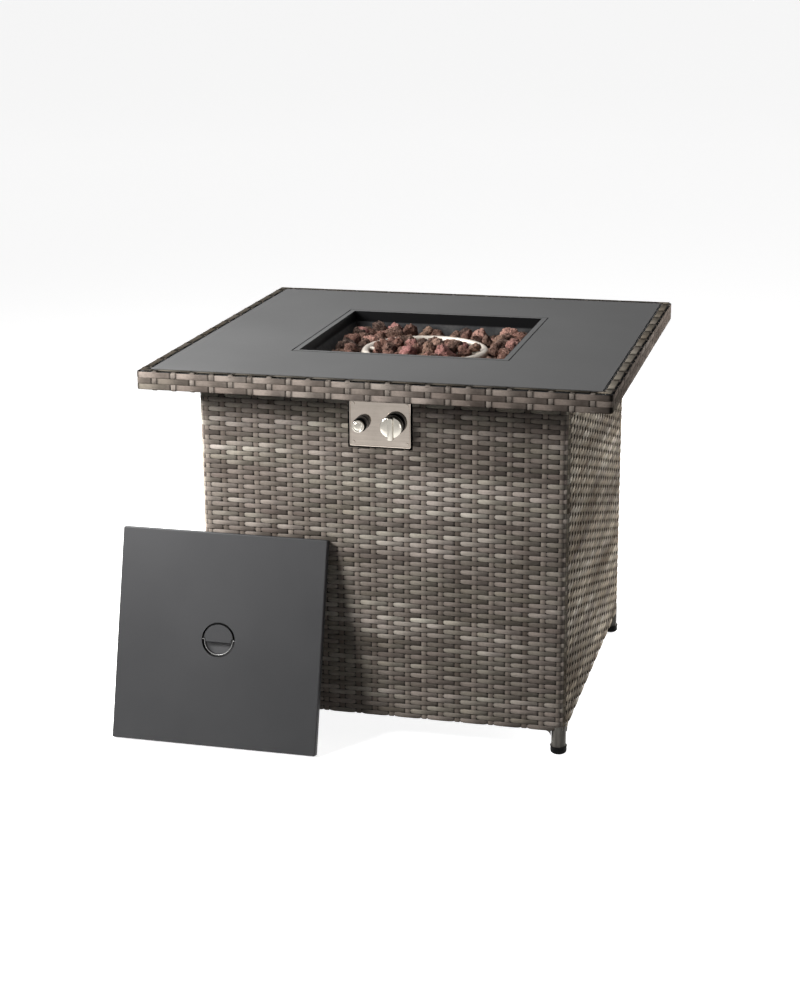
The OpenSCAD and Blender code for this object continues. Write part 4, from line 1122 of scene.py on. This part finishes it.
def make_lid():
    panel = block("lid_sheet", (LID, LID, 12), (0, LID / 2, -6))
    pick(lambda at, way: abs(way.z) > 0.9, "EDGE")
    bevel(3.0, 4)
    drop(lambda at, way: way.z < -0.9)
    pick(lambda at, way: at.z > -0.01, "EDGE")
    bevel(2.0, 3)
    pick(lambda at, way: way.z > 0.99, "FACE")
    inset(0.5)
    apply(panel, "SOLIDIFY", thickness=1.2, offset=-1)
    tool = drum("pull_tool", PULL, 28.7, 8, 96, UPRIGHT)
    carve(panel, tool)
    fit(lean(panel), lid_paint, "lid", "lid_panel")

    dish = drum("pull_dish", on_pull(0, 0, -6.15), 30.4, 9.7, 96, UPRIGHT)
    pick(lambda at, way: way.z > 0.9, "FACE")
    inset(1.0)
    draw_out(z=-8.7)
    loop_at("Z", -2.7)
    pick(lambda at, way: -2.6 < at.z < -1.4 and (at - PULL).xy.length > 29.8, "FACE")
    draw_out()
    grow(1.085, 1.085, 1, PULL)

    halves = []
    for name, radius, high, low, chord in (("half_moon", 25.2, -0.1, -1.2, -3.4),
                                           ("pull_dish", 24.8, -1.2, -9.9, -2.0)):
        half = drum(name, on_pull(0, 0, (high + low) / 2), radius, high - low, 96, UPRIGHT)
        bpy.ops.mesh.bisect(plane_co=on_pull(0, chord, 0), plane_no=(0, 1, 0), clear_inner=True, use_fill=True)
        for side in (-1, 1):
            tool = start("pull_tool", bpy.ops.mesh.primitive_cube_add, size=7.6,
                         location=on_pull(side * 26.0, -1.6, 0))
            carve(half, tool)
        halves.append(half)
    moon, step = halves
    rounded(moon, 0.2, 2)
    fit(lean(moon), lid_paint, "lid", "pull_plate", smooth=20)
    fit(lean(join("pull_dish", [dish, step])), cup_paint, "lid", "pull_cup")

    ring = start("pull_ring", bpy.ops.mesh.primitive_torus_add, major_radius=24.2, minor_radius=0.75,
                 major_segments=72, minor_segments=12, location=on_pull(0, -0.6, -1.6))
    cut(on_pull(0, -0.6, 0), (0, 1, 0))
    pick(lambda at, way: abs(at.y - PULL.y + 0.6) < 0.01, "EDGE")
    draw_out(y=1.6)
    bpy.ops.mesh.fill()
    pin_x = 26.4
    pin = drum("pull_ring", on_pull(pin_x, 0, -1.9), 0.55, 6.0, 24, SIDEWAYS)
    rounded(pin, 0.25, 2)
    other = edit(copy_of(pin, "pull_ring"))
    shift(-2 * pin_x)
    fit(lean(join("pull_ring", [outwards(ring), pin, other])), bail_steel, "bail", "pull_bail")


# Shown solids, light and camera

def paint_frame():
    """Finishes for the pieces whose solids are shown as they are."""
    finishes = {
        frame_paint: "corner_posts upper_rails lower_rails rim_frame panel_ledge top_bars tank_tray control_box "
                     "hinge_brackets door_frame",
        foot_plastic: "foot_caps",
        black_moulding: "knob_core door_magnet",
        top_paint: "tabletop",
        bowl_paint: "fire_bowl",
        burner_steel: "burner_ring",
        stainless: "feed_pipe heat_shield thermocouple pilot_bracket top_bolts valve_screws hinge_pins catch_plate "
                   "igniter_nut door_knob",
        plate_metal: "control_plate panel_screws",
        chrome: "knob_shell igniter_body igniter_button",
        brass: "gas_valve valve_spindle burner_mixer burner_locknut gas_jet",
        copper: "thermocouple_lead",
        lead_rubber: "ignition_lead",
        lava_finish: "lava_rocks",
        ceramic: "spark_electrode",
        lid_paint: "lid_panel pull_plate",
        cup_paint: "pull_cup",
        bail_steel: "pull_bail",
        stake_finish: "front_wicker left_wicker right_wicker back_wicker leg_wraps rim_wicker door_wicker",
    }
    for finish, nodes in finishes.items():
        for node in nodes.split():
            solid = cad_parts[node]
            solid.data.materials.clear()
            solid.data.materials.append(finish)


def make_studio():
    """A pale round sweep, which gives no light of its own to matt surfaces, and five softboxes."""
    sweep = start("studio_sweep", bpy.ops.mesh.primitive_circle_add, vertices=96, radius=9, fill_type="NGON")
    pick(lambda at, way: at.xy.length > 8.5, "EDGE")
    last_radius, last_height = 9.0, 0.0
    for radius, height in ((10.4, 0.2), (11.5, 0.8), (12.2, 1.9), (12.5, 3.4), (12.6, 20.0)):
        draw_out(z=height - last_height)
        grow(radius / last_radius, radius / last_radius)
        last_radius, last_height = radius, height
    leave_edit()
    bpy.ops.object.shade_smooth_by_angle(angle=math.radians(60))
    sweep.data.materials.append(pale_floor("studio_sweep"))
    sweep.visible_diffuse = False

    world = bpy.data.worlds.new("studio")
    bpy.context.scene.world = world
    world.use_nodes = True
    sky = next(n for n in world.node_tree.nodes if n.type == "BACKGROUND")
    sky.inputs["Color"].default_value = grey(255)
    sky.inputs["Strength"].default_value = 0.03

    for name, at, towards, size, power in (
            ("key_softbox", (-0.95, -1.0, 1.07), (-0.15, -0.3, 0.42), (0.5, 0.5), 33),
            ("top_softbox", (-1.1, 0.2, 1.9), (-0.1, 0, 0.6), (1.2, 1.2), 44),
            ("right_softbox", (1.25, 1.55, 0.45), (0.3, 0, 0.33), (0.7, 0.6), 50),
            ("back_softbox", (-0.7, 2.1, 0.3), (-0.1, 0.3, 0.33), (1.2, 0.5), 10),
            ("corner_softbox", (1.0, -1.9, 0.4), (0.25, -0.3, 0.3), (0.8, 0.5), 3)):
        light = bpy.data.lights.new(name, "AREA")
        light.shape = "RECTANGLE"
        light.size, light.size_y = size
        light.energy = power
        lamp = hold(name, light)
        lamp.location = at
        lamp.rotation_euler = (Vector(towards) - Vector(at)).to_track_quat("-Z", "Y").to_euler()


def make_camera():
    """The photograph's view: its turns in radians, its focal length in pixels of a 1000-pixel height."""
    yaw, pitch, roll = -0.2501, 0.2877, -0.0070
    focal_pixels, height_pixels, sensor = 1932.40, 1000.0, 36.0
    ahead = Vector((math.sin(yaw) * math.cos(pitch), math.cos(yaw) * math.cos(pitch), -math.sin(pitch)))
    right = Vector((math.cos(yaw), -math.sin(yaw), 0))
    above = right.cross(ahead)
    c, s = math.cos(roll), math.sin(roll)
    right, above = c * right + s * above, c * above - s * right
    lens = bpy.data.cameras.new("photo_camera")
    lens.sensor_width = sensor
    lens.lens = focal_pixels * sensor / height_pixels
    lens.clip_end = 200.0
    camera = hold("photo_camera", lens)
    turned_to = Matrix((right, above, -ahead)).transposed()
    camera.matrix_world = Matrix.Translation(Vector((0.76607, -3.17976, 1.29422))) @ turned_to.to_4x4()
    bpy.context.scene.camera = camera


make_camera()
paint_frame()
make_body_weave()
make_liner()
make_door_weave()
make_rim_weave()
make_legs()
make_rocks()
make_controls()
make_lid()
make_studio()
bpy.context.scene.view_settings.view_transform = "Standard"
